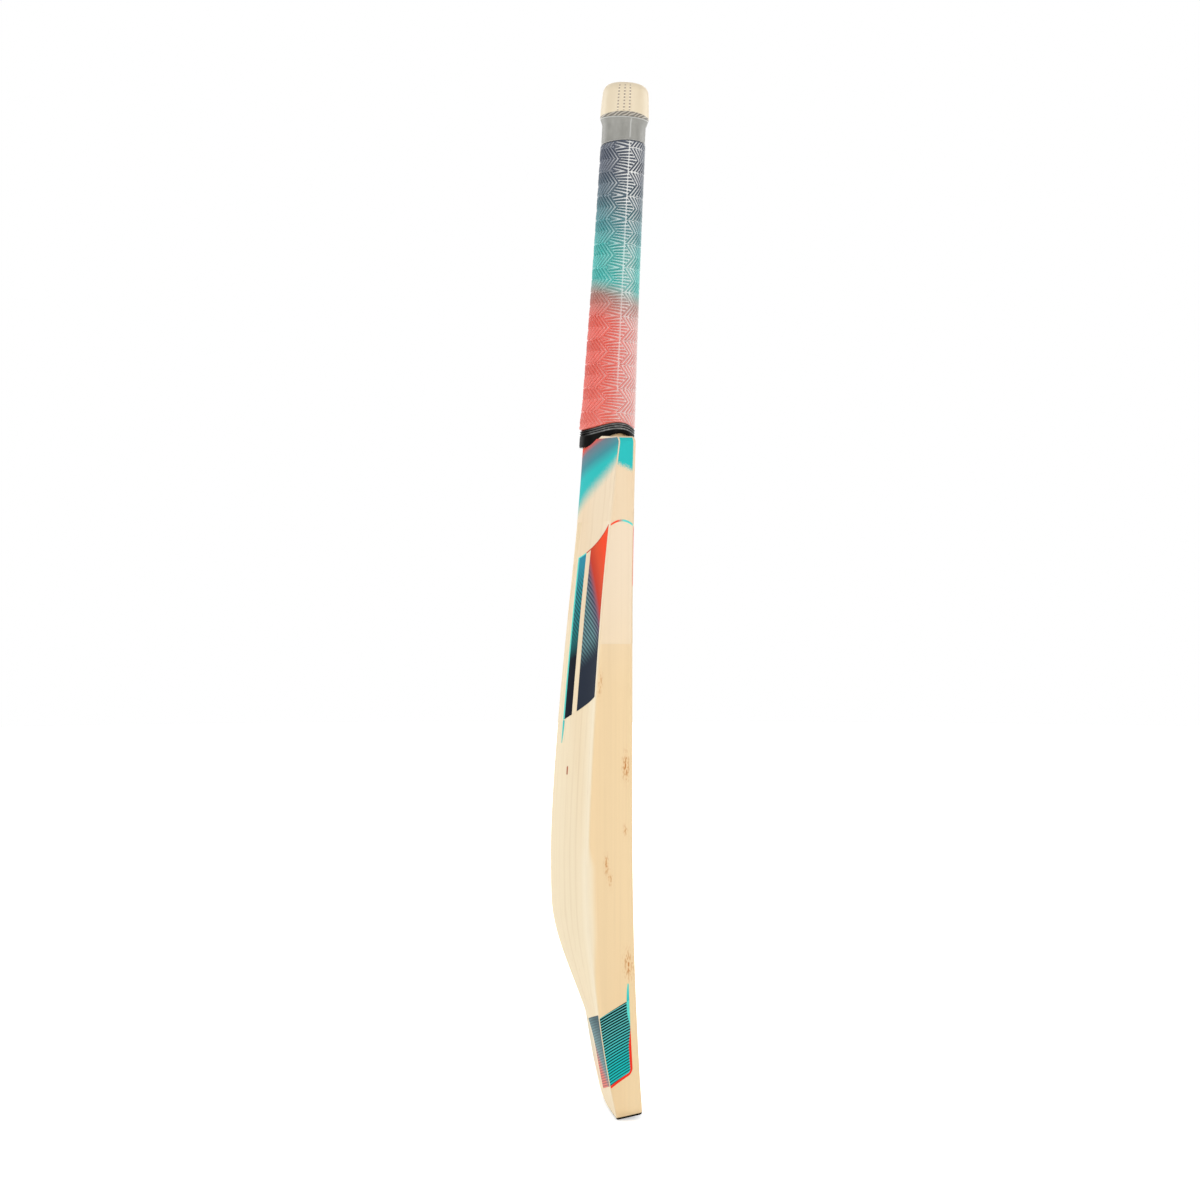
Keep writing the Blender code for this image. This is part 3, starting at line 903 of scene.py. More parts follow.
@dataclass(frozen=True)
class Willow:
    """Pale, straight-grained willow with a thin oil and wax finish."""

    ring_pitch: float = 0.0072
    lean: float = 0.16
    wander: float = 0.007
    late_tint: float = 0.20
    rosy_tint: float = 0.6
    cloud_tint: float = 0.20
    fibre_tint: float = 0.13
    corner_highlight_tint: float = 0.45
    stain_tint: float = 0.5
    fleck_tint: float = 0.40
    nick: Pair = (0.0225, 0.283)
    roughness: float = 0.46

    def colour(self, kit: NodeKit, edge: object = 0.0, stain: object = 0.0, rim: object = 0.0) -> Wire:
        """The wood's colour: growth rings end on to the face, broad and soft along the edges.

        Args:
            kit: The material's nodes.
            edge: How much the surface is a sawn edge.
            stain: How strongly a brown fleck shows.
            rim: How close it is to the corner beside a flank, where a paler painted highlight goes.

        Returns:
            The colour.
        """
        drift = kit.noise(1.0, 7.0, 7.0, 1.6) - 0.5
        ring = kit.x + kit.y * self.lean + drift * self.wander
        phase = (ring / self.ring_pitch).fract()
        uneven = kit.noise(1.0, 90.0, 30.0, 1.5).rise(0.30, 0.70)
        late = phase.between((0.58, 0.94), (1.0, 0.96)) * uneven * self.late_tint
        base = kit.mix(edge, Tint.CREAM_WILLOW, Tint.TAN_WILLOW)
        base = kit.mix(kit.z.rise(0.34, 0.46) * self.rosy_tint, base, Tint.ROSY_WILLOW)
        cloud = kit.noise(2.0, 16.0, 46.0, 2.2).rise(0.42, 0.75)
        base = kit.mix(cloud * self.cloud_tint, base, Tint.HONEY_WILLOW)
        base = kit.mix(late, base, Tint.LATE_GRAIN)
        fibre = kit.noise(3.0, 620.0, 620.0, 7.0).rise(0.42, 0.85)
        base = kit.mix(fibre * self.fibre_tint, base, Tint.LATE_GRAIN)
        # Painted highlight: paler along the rounded corner beside a flank.
        base = kit.mix(rim * self.corner_highlight_tint, base, Tint.PALE_WILLOW)
        base = kit.mix(kit.rise(stain, 0.05, 0.7) * self.stain_tint, base, Tint.HONEY_WILLOW)
        sparse = kit.noise(0.0, 30.0, 60.0, 7.0).rise(0.68, 0.76)
        dash = kit.noise(1.0, 420.0, 420.0, 46.0).rise(0.68, 0.76)
        grit = kit.noise(1.0, 760.0, 760.0, 260.0).rise(0.46, 0.62)
        fleck = (sparse * dash * self.fleck_tint).at_least(stain * grit)
        return kit.mix(fleck, base, Tint.FLECK)

    def material(self) -> Material:
        """The finish of the bare blade, with a rust-brown nick on each flank.

        Returns:
            The material.
        """
        kit = NodeKit.matt("willow", self.roughness)
        colour = self.colour(kit, kit.mark("edge"), kit.mark("stain"), kit.mark("rim"))
        across, height = self.nick
        nick = abs(abs(kit.x) - across).rise(0.0012, 0.0003) * abs(kit.z - height).rise(0.0042, 0.0026)
        colour = kit.mix(nick * kit.y.rise(0.02, 0.03), colour, Tint.RUST)
        kit.bump(kit.noise(3.0, 700.0, 700.0, 10.0), 0.08, 0.0003)
        return kit.finish(colour)


@dataclass(frozen=True)
class Cane:
    """Straw-coloured cane: fine long fibres, with a paler band at the shoulders that is painted light where
    the collar shades it.
    """

    roughness: float = 0.55
    painted_light_foot: Pair = (0.5535, 0.5565)
    painted_light_top: Pair = (0.578, 0.574)

    def material(self) -> Material:
        """The finish of the handle's strips.

        Returns:
            The material.
        """
        kit = NodeKit("cane", self.roughness, 0.35)
        strand = kit.noise(3.0, 1500.0, 1500.0, 12.0).rise(0.36, 0.7)
        tone = kit.noise(2.0, 150.0, 150.0, 4.0).rise(0.35, 0.7)
        colour = kit.mix(strand * 0.45 + tone * 0.3, Tint.CANE, Tint.CANE_DARK)
        # Painted light: a paler band at the shoulders, where the collar casts shade.
        colour = kit.mix(kit.z.between(self.painted_light_foot, self.painted_light_top), colour, Tint.CANE_PAINTED_LIGHT)
        kit.bump(strand, 0.2, 0.0003)
        return kit.finish(colour)


@dataclass(frozen=True)
class SpringRubber:
    """Dull dark rubber of the handle's springs, painted pale from the shoulders' top down, as light where the
    collar shades it.
    """

    roughness: float = 0.8
    painted_light_band: Pair = (0.578, 0.574)

    def material(self) -> Material:
        """The finish of the thin strips between the slabs.

        Returns:
            The material.
        """
        kit = NodeKit("spring rubber", self.roughness, 0.3)
        speck = kit.noise(2.0, 2500.0, 2500.0, 900.0)
        kit.bump(speck, 0.3, 0.0002)
        strip = kit.mix(speck.rise(0.4, 0.8), Tint.SPRING, Tint.BLACK_WORN)
        # Painted light: pale from the shoulders' top down, in the cane's painted-light tint.
        return kit.finish(kit.mix(kit.z.rise(*self.painted_light_band), strip, Tint.CANE_PAINTED_LIGHT))


@dataclass(frozen=True)
class Thread:
    """Waxed thread wound close round the cane."""

    pitch: float = 0.0009
    roughness: float = 0.7

    def material(self) -> Material:
        """The finish of the binding under the grip.

        Returns:
            The material.
        """
        kit = NodeKit("twine", self.roughness, 0.3)
        wave = kit.math("SINE", kit.z * (2 * math.pi / self.pitch)) * 0.5 + 0.5
        kit.bump(wave, 0.6, 0.0004)
        fuzz = kit.noise(2.0, 1800.0) * 0.5
        return kit.finish(kit.mix(1.0 - wave - fuzz, Tint.THREAD, Tint.THREAD_SHADE))


@dataclass(frozen=True)
class GripRubber:
    """Moulded rubber that fades from slate through teal to coral, with painted highlights on its ribs and
    mould seams, stronger on the face side, and painted shade in the gaps between its ribs.
    """

    top: float = 0.806
    foot: float = 0.563
    slant: float = 0.33
    axis_back: float = 0.006
    axis_fall: float = 0.055
    axis_start: Pair = (0.0125, 0.5665)
    roughness: float = 0.26
    rib_highlights: tuple[float, float, float] = (0.33, 0.41, 0.66)
    painted_gap_shades: Pair = (0.06, 0.42)
    face_side_highlight: float = 0.24
    seam_highlight_tint: float = 0.5
    grain_tint: float = 0.05
    fade: tuple[tuple[float, Tint], ...] = (
        (0.00, Tint.ROSE),
        (0.17, Tint.CORAL),
        (0.37, Tint.CORAL),
        (0.455, Tint.DUSK),
        (0.51, Tint.TEAL),
        (0.61, Tint.TEAL),
        (0.70, Tint.SEA),
        (0.80, Tint.STEEL),
        (0.90, Tint.SLATE),
    )

    def material(self) -> Material:
        """The finish of the ribbed sleeve.

        Returns:
            The material.
        """
        kit = NodeKit("grip rubber", self.roughness, 0.9)
        back, height = self.axis_start
        off = kit.y - back + (kit.z - height) * self.axis_fall
        tilt = (kit.y - self.axis_back) * self.slant
        level = kit.rise(kit.z - tilt, self.foot, self.top, soft=False)
        # Painted shade: the gaps between ribs darken towards black, most in the teal and slate zones above
        # the coral.
        light, dark = self.painted_gap_shades
        shade = light + level.rise(0.44, 0.58) * (dark - light)
        gap = kit.mark("rib").rise(0.5, 0.05) * shade
        base = kit.mix(gap, kit.ramp(level, *self.fade), Tint.BLACK)
        # Painted highlight: the ribs turn pale, more on the face side and less at the face side's rim.
        low, middle, high = self.rib_highlights
        strength = low + level.rise(0.42, 0.56) * (middle - low) + level.rise(0.64, 0.84) * (high - middle)
        keep = 1.0 - off.rise(-0.009, -0.017) * level.rise(0.38, 0.50)
        facing = (off.rise(0.017, -0.004) * 1.25 + 0.18) * (0.4 + keep * 0.6)
        highlight_and_wear = kit.mark("rib").rise(0.25, 0.80) * (strength * facing)
        # Painted highlight along the mould seams.
        highlight_and_wear = highlight_and_wear.at_least(kit.mark("seam") * self.seam_highlight_tint)
        grain = kit.noise(2.0, 2600.0)
        kit.bump(grain, 0.12, 0.0002)
        # Painted highlight: a pale haze on the face side, fading out towards the slate at the top.
        haze = off.rise(0.006, -0.016) * level.rise(0.78, 0.60) * keep
        highlight_and_wear = highlight_and_wear + grain.rise(0.5, 0.8) * self.grain_tint + haze * self.face_side_highlight
        return kit.finish(kit.mix(highlight_and_wear, base, Tint.PALE_RIB))


@dataclass(frozen=True)
class CuffRubber:
    """Smooth rubber of the cuff and of the plain ring under it."""

    stitch: float = 0.0027
    band_pitch: float = 0.0026
    band_slant: float = 0.55
    band_wander: float = 0.003
    roughness: float = 0.34

    def material(self) -> Material:
        """The finish, cream or grey by what each point of the piece says.

        Returns:
            The material.
        """
        kit = NodeKit("cuff rubber", self.roughness, 0.45)
        soil = kit.noise(3.0, 90.0, 90.0, 60.0).rise(0.45, 0.8)
        cream = kit.mix(soil * 0.3, Tint.CUFF, Tint.CUFF_SHADE)
        dash = kit.math("SINE", kit.z * (2 * math.pi / self.stitch)).rise(0.0, 0.5)
        thread = kit.mix(dash, Tint.CUFF_LINE, Tint.PALE_WILLOW)
        cream = kit.mix(kit.mark("groove"), cream, thread)
        scuff = kit.noise(3.0, 160.0, 160.0, 90.0).rise(0.40, 0.75)
        ring = kit.mix(scuff * 0.35, Tint.RING, Tint.RING_SCUFF)
        drift = kit.noise(1.0, 160.0, 160.0, 30.0) * self.band_wander
        climb = kit.y * self.band_slant + kit.z + drift
        stroke = (climb / self.band_pitch).fract().between((0.45, 0.65), (1.0, 0.85))
        band = kit.mix(stroke * 0.75, Tint.BAND, Tint.BAND_LINE)
        ring = kit.mix(kit.mark("band"), ring, band)
        # Pale lines round the ring, and a painted highlight along the mould seams.
        ring = kit.mix(kit.mark("line"), ring, Tint.PALE_RIB)
        kit.bump(kit.noise(2.0, 2400.0), 0.08, 0.0002)
        return kit.finish(kit.mix(kit.mark("cream"), ring, cream))


@dataclass(frozen=True)
class BlackRubber:
    """Black rubber, glossy where it is moulded and dull where it is scuffed, with a painted highlight along
    the collar's ridges.
    """

    name: str
    roughness: float
    wear: float
    specular: float
    crest: float = 0.0
    bending: float = 1.45

    def material(self) -> Material:
        """The finish of the collar, with a painted highlight along its ridges, or of the toe guard.

        Returns:
            The material.
        """
        kit = NodeKit(self.name, self.roughness, self.specular, self.bending)
        rub = kit.noise(4.0, 240.0).rise(0.45, 0.75)
        kit.bump(kit.noise(2.0, 1900.0), 0.1, 0.0002)
        colour = kit.mix(rub * self.wear, Tint.BLACK, Tint.BLACK_WORN)
        # Painted highlight along the ridges, mottled by the wear noise.
        if self.crest:
            highlight_and_wear = kit.mark("crest") * ((rub * 0.5 + 0.5) * self.crest)
            colour = kit.mix(highlight_and_wear, colour, Tint.RIDGE_HIGHLIGHT)
        return kit.finish(colour)


@dataclass(frozen=True)
class ShoulderFade:
    """Print at the shoulders that fades down into the bare wood."""

    name: str
    willow: Willow
    bare: float
    full: float
    inks: tuple[tuple[float, Tint], ...]
    slant: float = 0.0
    ink_slant: float = 0.0
    narrowing: float = 0.0
    edge: float = 0.0
    back_slant: float = 0.0
    back_middle: float = 0.0032
    span: Pair = (0.500, 0.556)
    speckle: float = 0.006
    roughness: float = 0.42

    def material(self) -> Material:
        """The finish of one of the labels at the shoulders.

        Returns:
            The material.
        """
        kit = NodeKit.matt(self.name, self.roughness)
        wood = self.willow.colour(kit, self.edge)
        out = abs(kit.x)
        level = kit.z - out * self.slant - (kit.y - self.back_middle) * self.back_slant
        low, high = self.span
        stops = [((height - low) / (high - low), tint) for height, tint in self.inks]
        ink = kit.ramp(kit.rise(kit.z - out * self.ink_slant, low, high, soft=False), *stops)
        speck = (kit.noise(1.0, 900.0) - 0.5) * self.speckle
        cover = (level + speck).rise(out * self.narrowing + self.bare, self.full)
        return kit.finish(kit.mix(cover, wood, ink))


@dataclass(frozen=True)
class FlankPanel:
    """Print on a flank: a broad hatched panel, coral to navy, and a slim one beside the spine."""

    willow: Willow
    hatch_pitch: float = 0.0037
    hatch_slant: float = 0.8
    slim_end: float = 0.287
    broad_start: float = 0.426
    sharp: float = 0.005
    rule: float = 0.058
    lean: float = 0.85
    roughness: float = 0.42

    def material(self) -> Material:
        """The finish of the two flank labels.

        Returns:
            The material.
        """
        kit = NodeKit.matt("flank panel", self.roughness)
        wood = self.willow.colour(kit)
        across, along = kit.mark("across"), kit.mark("along")
        level = along + (across - 1.0) * self.lean
        broad = kit.ramp(level, (0.22, Tint.PANEL_SLATE), (0.37, Tint.VIOLET), (0.48, Tint.BRICK),
                         (0.64, Tint.EMBER), (0.80, Tint.HOT_CORAL))
        broad = kit.mix(along.rise(0.42, 0.24), broad, Tint.NAVY)
        climb = kit.z + abs(kit.x) * self.hatch_slant
        line = (climb / self.hatch_pitch).fract().between((0.25, 0.5), (1.0, 0.75))
        broad = kit.mix(line * (level.rise(0.46, 0.34) * 0.8), broad, Tint.NAVY)
        slim = kit.ramp(along, (0.36, Tint.MIDNIGHT), (0.52, Tint.DEEP_TEAL), (0.74, Tint.SEA),
                        (0.96, Tint.LAGOON))
        hatched = along.between((0.40, 0.55), (0.95, 0.75))
        slim = kit.mix(line * (hatched * 0.7), slim, Tint.MIDNIGHT)
        slim = kit.mix(across.rise(self.rule, self.rule * 0.8), slim, Tint.LINE_TEAL)
        start, end = self.broad_start, self.broad_start + self.sharp
        colour = kit.mix(across.rise(start, end), slim, broad)
        gap = across.between((self.slim_end, self.slim_end + self.sharp), (end, start))
        colour = kit.mix(gap, colour, wood)
        border = kit.mix(across.rise(self.slim_end, self.slim_end + 0.01), Tint.LINE_TEAL, Tint.BRICK)
        return kit.finish(kit.mix(along.rise(0.990, 0.993), colour, border))


@dataclass(frozen=True)
class ToeEdgePanel:
    """Print on a toe's edge: slanted stripes, with a round-cornered border beside the face and the foot."""

    willow: Willow
    stripes: float = 26.0
    stripe_widths: Pair = (0.36, 0.40)
    tilt: float = 0.02
    corner: Pair = (0.185, 0.075)
    turn: float = 0.62
    border: Pair = (0.9, 0.42)
    roughness: float = 0.42

    def material(self) -> Material:
        """The finish of the two labels on the toe's edges.

        Returns:
            The material.
        """
        kit = NodeKit.matt("toe edge panel", self.roughness)
        wood = self.willow.colour(kit, 1.0)
        across, along = kit.mark("across"), kit.mark("along")
        stripe = ((along + (1.0 - across) * self.tilt) * self.stripes).fract()
        foot, growth = self.stripe_widths
        dark = (foot + along * growth - stripe).rise(-0.08, 0.08) * stripe.rise(0.0, 0.1)
        pale = kit.mix(along.rise(0.2, 0.9), Tint.PANEL_TEAL, Tint.MIST_TEAL)
        ink = kit.mix(dark, pale, Tint.INK)
        offs = [(1.0 - share / reach).at_least(0.0) for share, reach in zip((across, along), self.corner)]
        out = kit.math("SQRT", offs[0] * offs[0] + offs[1] * offs[1])
        border = kit.mix(along.rise(self.turn - 0.1, self.turn + 0.1), Tint.LINE_RED, Tint.LINE_TEAL)
        widest, thinning = self.border
        inner = widest - abs(along - self.turn).rise(0.0, 0.26) * thinning
        ink = kit.mix((out - inner).rise(0.0, 0.06), ink, border)
        return kit.finish(kit.mix(out.rise(0.99, 1.03), ink, wood))


@dataclass(frozen=True)
class ToeBackPanel:
    """Print across the back of a toe: a pinstriped panel, and a pale one past the bare middle."""

    willow: Willow
    stripes: float = 27.0
    inner: float = 0.0045
    outer: float = 0.052
    outward: float = 0.6
    pale_share: float = 0.22
    roughness: float = 0.42

    def material(self) -> Material:
        """The finish of the label across the toe's back.

        Returns:
            The material.
        """
        kit = NodeKit.matt("toe back panel", self.roughness)
        wood = self.willow.colour(kit)
        along, out = kit.mark("along"), abs(kit.x)
        level = along + kit.rise(out, self.inner, self.outer, soft=False) * self.outward
        ink = kit.ramp(level / (1 + self.outward), (0.26, Tint.PANEL_ROSE), (0.46, Tint.PANEL_SLATE),
                       (0.90, Tint.PANEL_DUSK))
        line = (along * self.stripes).fract().between((0.4, 0.55), (1.0, 0.85))
        ink = kit.mix(line * 0.5, ink, Tint.NAVY)
        full = kit.math("LESS_THAN", kit.x, 0.0) * (1 - self.pale_share)
        cover = out.rise(self.inner, self.inner + 0.0003) * (full + self.pale_share)
        return kit.finish(kit.mix(cover, wood, ink))


@dataclass(frozen=True)
class FacePanel:
    """Print on the face: slanted bars that thin out downwards, with a coral border at the sides."""

    willow: Willow
    bars: float = 9.0
    thinning: float = 0.75
    border: float = 0.484
    border_span: Pair = (0.434, 0.485)
    border_fade: float = 0.003
    roughness: float = 0.42

    def material(self) -> Material:
        """The finish of the face label.

        Returns:
            The material.
        """
        kit = NodeKit.matt("face panel", self.roughness)
        wood = self.willow.colour(kit)
        across, along = kit.mark("across"), kit.mark("along")
        fold = abs(across - 0.5)
        ink = kit.ramp(along, (0.1, Tint.PANEL_TEAL), (0.5, Tint.NAVY), (0.75, Tint.HOT_CORAL))
        stripe = ((along - fold * 0.5) * self.bars).fract()
        bar = kit.math("GREATER_THAN", stripe + along * self.thinning, self.thinning)
        bar = bar * fold.rise(self.border - 0.03, self.border - 0.034)
        colour = kit.mix(bar, wood, ink)
        low, high = self.border_span
        beside = kit.z.between((low, low + self.border_fade), (high, high - self.border_fade))
        beside = beside * fold.rise(self.border - self.border_fade, self.border)
        return kit.finish(kit.mix(beside, colour, Tint.HOT_CORAL))


@dataclass(frozen=True)
class ClearFilm:
    """Clear film on an edge, a little paler than the wood, with a fine line along its top."""

    willow: Willow
    haze: float = 0.22
    rule: Pair = (0.982, 0.985)
    roughness: float = 0.26

    def material(self) -> Material:
        """The finish of the two clear labels.

        Returns:
            The material.
        """
        kit = NodeKit("clear film", self.roughness, 0.25)
        film = kit.mix(self.haze, self.willow.colour(kit, 1.0), Tint.HAZE)
        ink = kit.mix(kit.mark("across").rise(0.35, 0.75), Tint.LINE_TEAL, Tint.HOT_CORAL)
        return kit.finish(kit.mix(kit.mark("along").rise(*self.rule), film, ink))


@dataclass(frozen=True)
class FineRule:
    """A fine teal line that runs on past a panel, paler towards its end."""

    roughness: float = 0.42

    def material(self) -> Material:
        """The finish of the thin printed lines."""
        kit = NodeKit.matt("fine rule", self.roughness)
        return kit.finish(kit.mix(kit.mark("along"), Tint.BRIGHT_TEAL, Tint.LINE_TEAL))


@dataclass(frozen=True)
class Fleck:
    """A brown fleck in the wood of an edge."""

    height: float
    share: float
    length: float
    width: float
    depth: float


@dataclass
class Blade:
    """The willow blade, with the slot of its splice and the seat of the collar."""

    shape: BladeShape
    handle: HandleShape
    willow: Willow
    steps: SectionSteps = field(default_factory=SectionSteps)
    row_spacing: float = 0.0022
    round_rows: int = 9
    edge_start: float = 0.5
    eased_edge: float = 2.5
    edge_steepness: float = 1.4
    edge_past_face: int = 4
    corner_highlight_reach: float = 3.0
    stain_reach: float = 0.004
    far_flecks: float = 0.92
    splice_depth: float = 0.150
    splice_tip: float = 0.006
    splice_side: float = 0.0015
    splice_top: float = 0.7
    seat_columns: int = 144
    flecks: tuple[Fleck, ...] = (
        Fleck(0.3555, 0.90, 0.0090, 0.0016, 0.60),
        Fleck(0.2880, 0.16, 0.0100, 0.0024, 1.00),
        Fleck(0.2360, 0.17, 0.0036, 0.0014, 0.80),
        Fleck(0.2080, 0.60, 0.0070, 0.0016, 0.85),
        Fleck(0.1970, 0.52, 0.0060, 0.0020, 0.70),
        Fleck(0.1260, 0.15, 0.0100, 0.0034, 0.90),
    )

    def heights(self) -> list[Pair]:
        """The rows of the blade's outside, from the toe to the top of the shoulders.

        Returns:
            The height and half the width of each row.
        """
        shape, count = self.shape, self.round_rows
        toe = [blend(shape.guard_thickness, shape.toe_radius, step / count) for step in range(count)]
        top = shape.length - shape.shoulder_radius
        body_rows = round((top - shape.toe_radius) / self.row_spacing)
        body = [blend(shape.toe_radius, top, step / body_rows) for step in range(body_rows)]
        turns = [math.pi / 2 * step / count for step in range(count + 1)]
        shoulder = [top + shape.shoulder_radius * math.sin(turn) for turn in turns]
        rows = [(height, shape.half_width(height)) for height in toe + body + shoulder]
        inner = self.handle.half_size(0.0)[0] + self.handle.sleeve_walls + self.handle.collar_proud
        outer = rows[-1][1]
        for step in range(1, count + 1):
            share = step / count
            rows.append((shape.length + shape.shoulder_rise * smooth(share), blend(outer, inner, share)))
        return rows

    def stained(self, across: float, back: float, height: float, half: float) -> float:
        """How strongly a brown fleck of an edge shows.

        Args:
            across: Distance from the middle, along X.
            back: Distance back, along Y.
            height: Height above the toe.
            half: Half the section's width.

        Returns:
            The strength, from 0 to 1.
        """
        if half - abs(across) > self.stain_reach:
            return 0.0
        turned = height if across < 0 else self.shape.length * self.far_flecks - height
        thick = self.shape.edge_thickness(height)
        off = back - self.shape.face_side(height)
        return max(f.depth * bell(turned - f.height, f.length) * bell(off - f.share * thick, f.width)
                   for f in self.flecks)

    def envelope(self) -> BMesh:
        """The blade's outside, as one closed skin with no slot.

        Returns:
            The mesh, which marks its edges, the painted highlights beside its flanks and its flecks.
        """
        rows, steps, shape = self.heights(), self.steps, self.shape
        starts = [self.edge_start + self.eased_edge * shape.eased(height) for height, _ in rows]
        last = 2 * steps.corner + steps.edge + self.edge_past_face

        def spot(column: int, row: int) -> Vector:
            """The place of a point."""
            across, back = steps.place(shape, column, *rows[row])
            return shape.skin(across, back, rows[row][0])

        def edge(column: int, row: int) -> float:
            """How much a point belongs to a sawn edge."""
            inside = steps.from_spine(column) - steps.flank
            return smooth(min(self.edge_steepness * (inside - starts[row]), last - inside) / steps.corner)

        def rim(column: int, row: int) -> float:
            """How close a point is to the corner beside a flank, where a painted highlight goes."""
            return bell(steps.from_spine(column) - steps.flank + 0.5, self.corner_highlight_reach)

        def stain(column: int, row: int) -> float:
            """How strongly a fleck shows at a point."""
            return self.stained(*steps.place(shape, column, *rows[row]), *rows[row])

        marks = {"edge": edge, "rim": rim, "stain": stain}
        return close_ends(tube(2 * steps.half, len(rows) - 1, spot, marks))

    def splice_cutter(self, clearance: float) -> Object:
        """The V of the splice, through the blade from face to back.

        Args:
            clearance: How much wider than the cane it is on each side.

        Returns:
            The cutter.
        """
        handle = self.handle
        tip = self.splice_tip / 2 + clearance
        wide = handle.half_size(0.0)[0] + self.splice_side + clearance
        knee = handle.base.z + handle.collar_lowest
        foot = self.shape.length - self.splice_depth - clearance
        right = [(tip, foot), (wide, knee), (wide, self.splice_top)]
        outline = right + [(-x, z) for x, z in reversed(right)]
        bm = bmesh.new()
        ring = bmesh.ops.create_circle(bm, cap_ends=True, segments=len(outline), radius=1.0)["verts"]
        for vert, (x, z) in zip(ring, outline):
            vert.co = (x, -self.shape.width, z)
        grown = bmesh.ops.extrude_face_region(bm, geom=bm.faces[:])["geom"]
        moved = [item for item in grown if isinstance(item, BMVert)]
        bmesh.ops.translate(bm, verts=moved, vec=(0.0, 2 * self.shape.width, 0.0))
        return new_piece("cutter_splice", bm, None)

    def seat_cutter(self) -> Object:
        """The space that the collar takes at the handle's foot, open upwards.

        Returns:
            The cutter.
        """
        handle, columns = self.handle, self.seat_columns
        rim, (out, rise) = handle.collar_rim, handle.seat_slope
        outsides = (-handle.half_size(0.0)[0] / 2, GAP / 2, rim, rim + out, rim + out)
        turns = [turn_of(column, columns) for column in range(columns)]
        feet = [handle.saddle(handle.collar_foot, turn) - GAP for turn in turns]
        middle, top = handle.collar_foot[0], self.shape.width

        def spot(column: int, row: int) -> Vector:
            """The place of a point, on a line from the middle out over the slope and up."""
            along = (middle, feet[column], feet[column], feet[column] + rise, top)[row]
            return handle.spot(turns[column], along, outsides[row], 0.0)

        return new_piece("cutter_seat", close_ends(tube(columns, len(outsides) - 1, spot)), None)

    def build(self) -> None:
        """Makes, carves and dresses the blade."""
        blade = new_piece("willow_blade", self.envelope(), None)
        for cutter in (self.splice_cutter(GAP / 2), self.seat_cutter()):
            carve(blade, cutter, Cut.TAKE_AWAY)
            discard(cutter)
        dress(blade, self.willow.material())
        settle(blade, "willow", "blade")


@dataclass
class CaneHandle:
    """The laminated cane: four slabs of three strips, with three rubber springs between the slabs."""

    blade: Blade
    handle: HandleShape
    slab: float = 0.0062
    strip: float = 0.0100
    spring: float = 0.0015
    chamfer: float = 0.0012
    chamfer_bend: float = 0.3
    root: float = 0.002
    columns: int = 120

    def blank(self) -> Object:
        """The whole handle before it is sawn: a V that fills the splice, and an oval above it.

        Returns:
            The blank.
        """
        handle, end, bent = self.handle, self.handle.length, self.chamfer * self.chamfer_bend
        taper_end = end - handle.straight
        stations = [(along, 0.0) for along in (
            handle.collar_lowest - self.root, 0.0, taper_end / 2, taper_end, end - self.chamfer)]
        stations += [(end - bent, -bent), (end, -self.chamfer)]

        def spot(column: int, row: int) -> Vector:
            """The place of a point of the oval."""
            return handle.spot(turn_of(column, self.columns), *stations[row])

        blank = new_piece("cane_blank", self.blade.envelope(), None)
        wedge, seat = self.blade.splice_cutter(0.0), self.blade.seat_cutter()
        oval = new_piece("cane_oval", close_ends(tube(self.columns, len(stations) - 1, spot)), None)
        for tool, cut in ((wedge, Cut.KEEP_INSIDE), (seat, Cut.TAKE_AWAY), (oval, Cut.JOIN)):
            carve(blank, tool, cut)
            discard(tool)
        return blank

    def sawn(self, name: str, across: Pair, deep: Pair, blank: Object) -> Object:
        """A box along the handle's axis, kept where the blank is.

        Args:
            name: The piece's name.
            across: Its two sides, along X.
            deep: Its two sides, across the axis towards the back.
            blank: The whole handle.

        Returns:
            The sawn piece.
        """
        size = Vector((across[1] - across[0], deep[1] - deep[0], 4 * self.handle.length))
        middle = Vector((sum(across) / 2, sum(deep) / 2, 0.0))
        place = Matrix.Translation(self.handle.base) @ Matrix.Rotation(self.handle.tilt, 4, "X")
        bm = bmesh.new()
        bmesh.ops.create_cube(bm, size=1.0)
        bmesh.ops.scale(bm, vec=size, verts=bm.verts[:])
        bmesh.ops.translate(bm, vec=middle, verts=bm.verts[:])
        bmesh.ops.transform(bm, matrix=place, verts=bm.verts[:])
        piece = new_piece(name, bm, None)
        carve(piece, blank, Cut.KEEP_INSIDE)
        return piece

    def build(self) -> None:
        """Saws and dresses the strips and the springs, and dresses the binding round them."""
        blank = self.blank()
        pitch = self.slab + self.spring + 2 * GAP
        half, far = self.spring / 2, self.blade.shape.width
        rubber, cane = SpringRubber().material(), Cane().material()
        for place, middle in {"front": -pitch, "middle": 0.0, "back": pitch}.items():
            deep = (middle - half, middle + half)
            piece = self.sawn(f"rubber_spring_{place}", (-far, far), deep, blank)
            dress(piece, rubber)
            settle(piece, "spring_rubber", f"spring_{place}")
        inner = half + GAP / 2
        slabs = {"front": (-far, -pitch - inner), "mid_front": (-pitch + inner, -inner),
                 "mid_back": (inner, pitch - inner), "back": (pitch + inner, far)}
        edge = self.strip / 2
        strips = {"left": (-far, -edge - GAP / 2), "middle": (-edge, edge), "right": (edge + GAP / 2, far)}
        for slab, deep in slabs.items():
            for strip, across in strips.items():
                piece = self.sawn(f"cane_strip_{slab}_{strip}", across, deep, blank)
                dress(piece, cane)
                settle(piece, "cane", f"cane_{slab}_{strip}")
        discard(blank)
        dress_node(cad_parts["twine_binding"], Thread().material())


def dress_node(piece: Object, material: Material) -> None:
    """Gives a solid that stays as it is its finish, and leaves its mesh alone.

    Args:
        piece: The solid.
        material: Its finish.
    """
    for slot in piece.material_slots:
        slot.material = material
    log.info("%s: kept, %d faces", piece.name, len(piece.data.polygons))


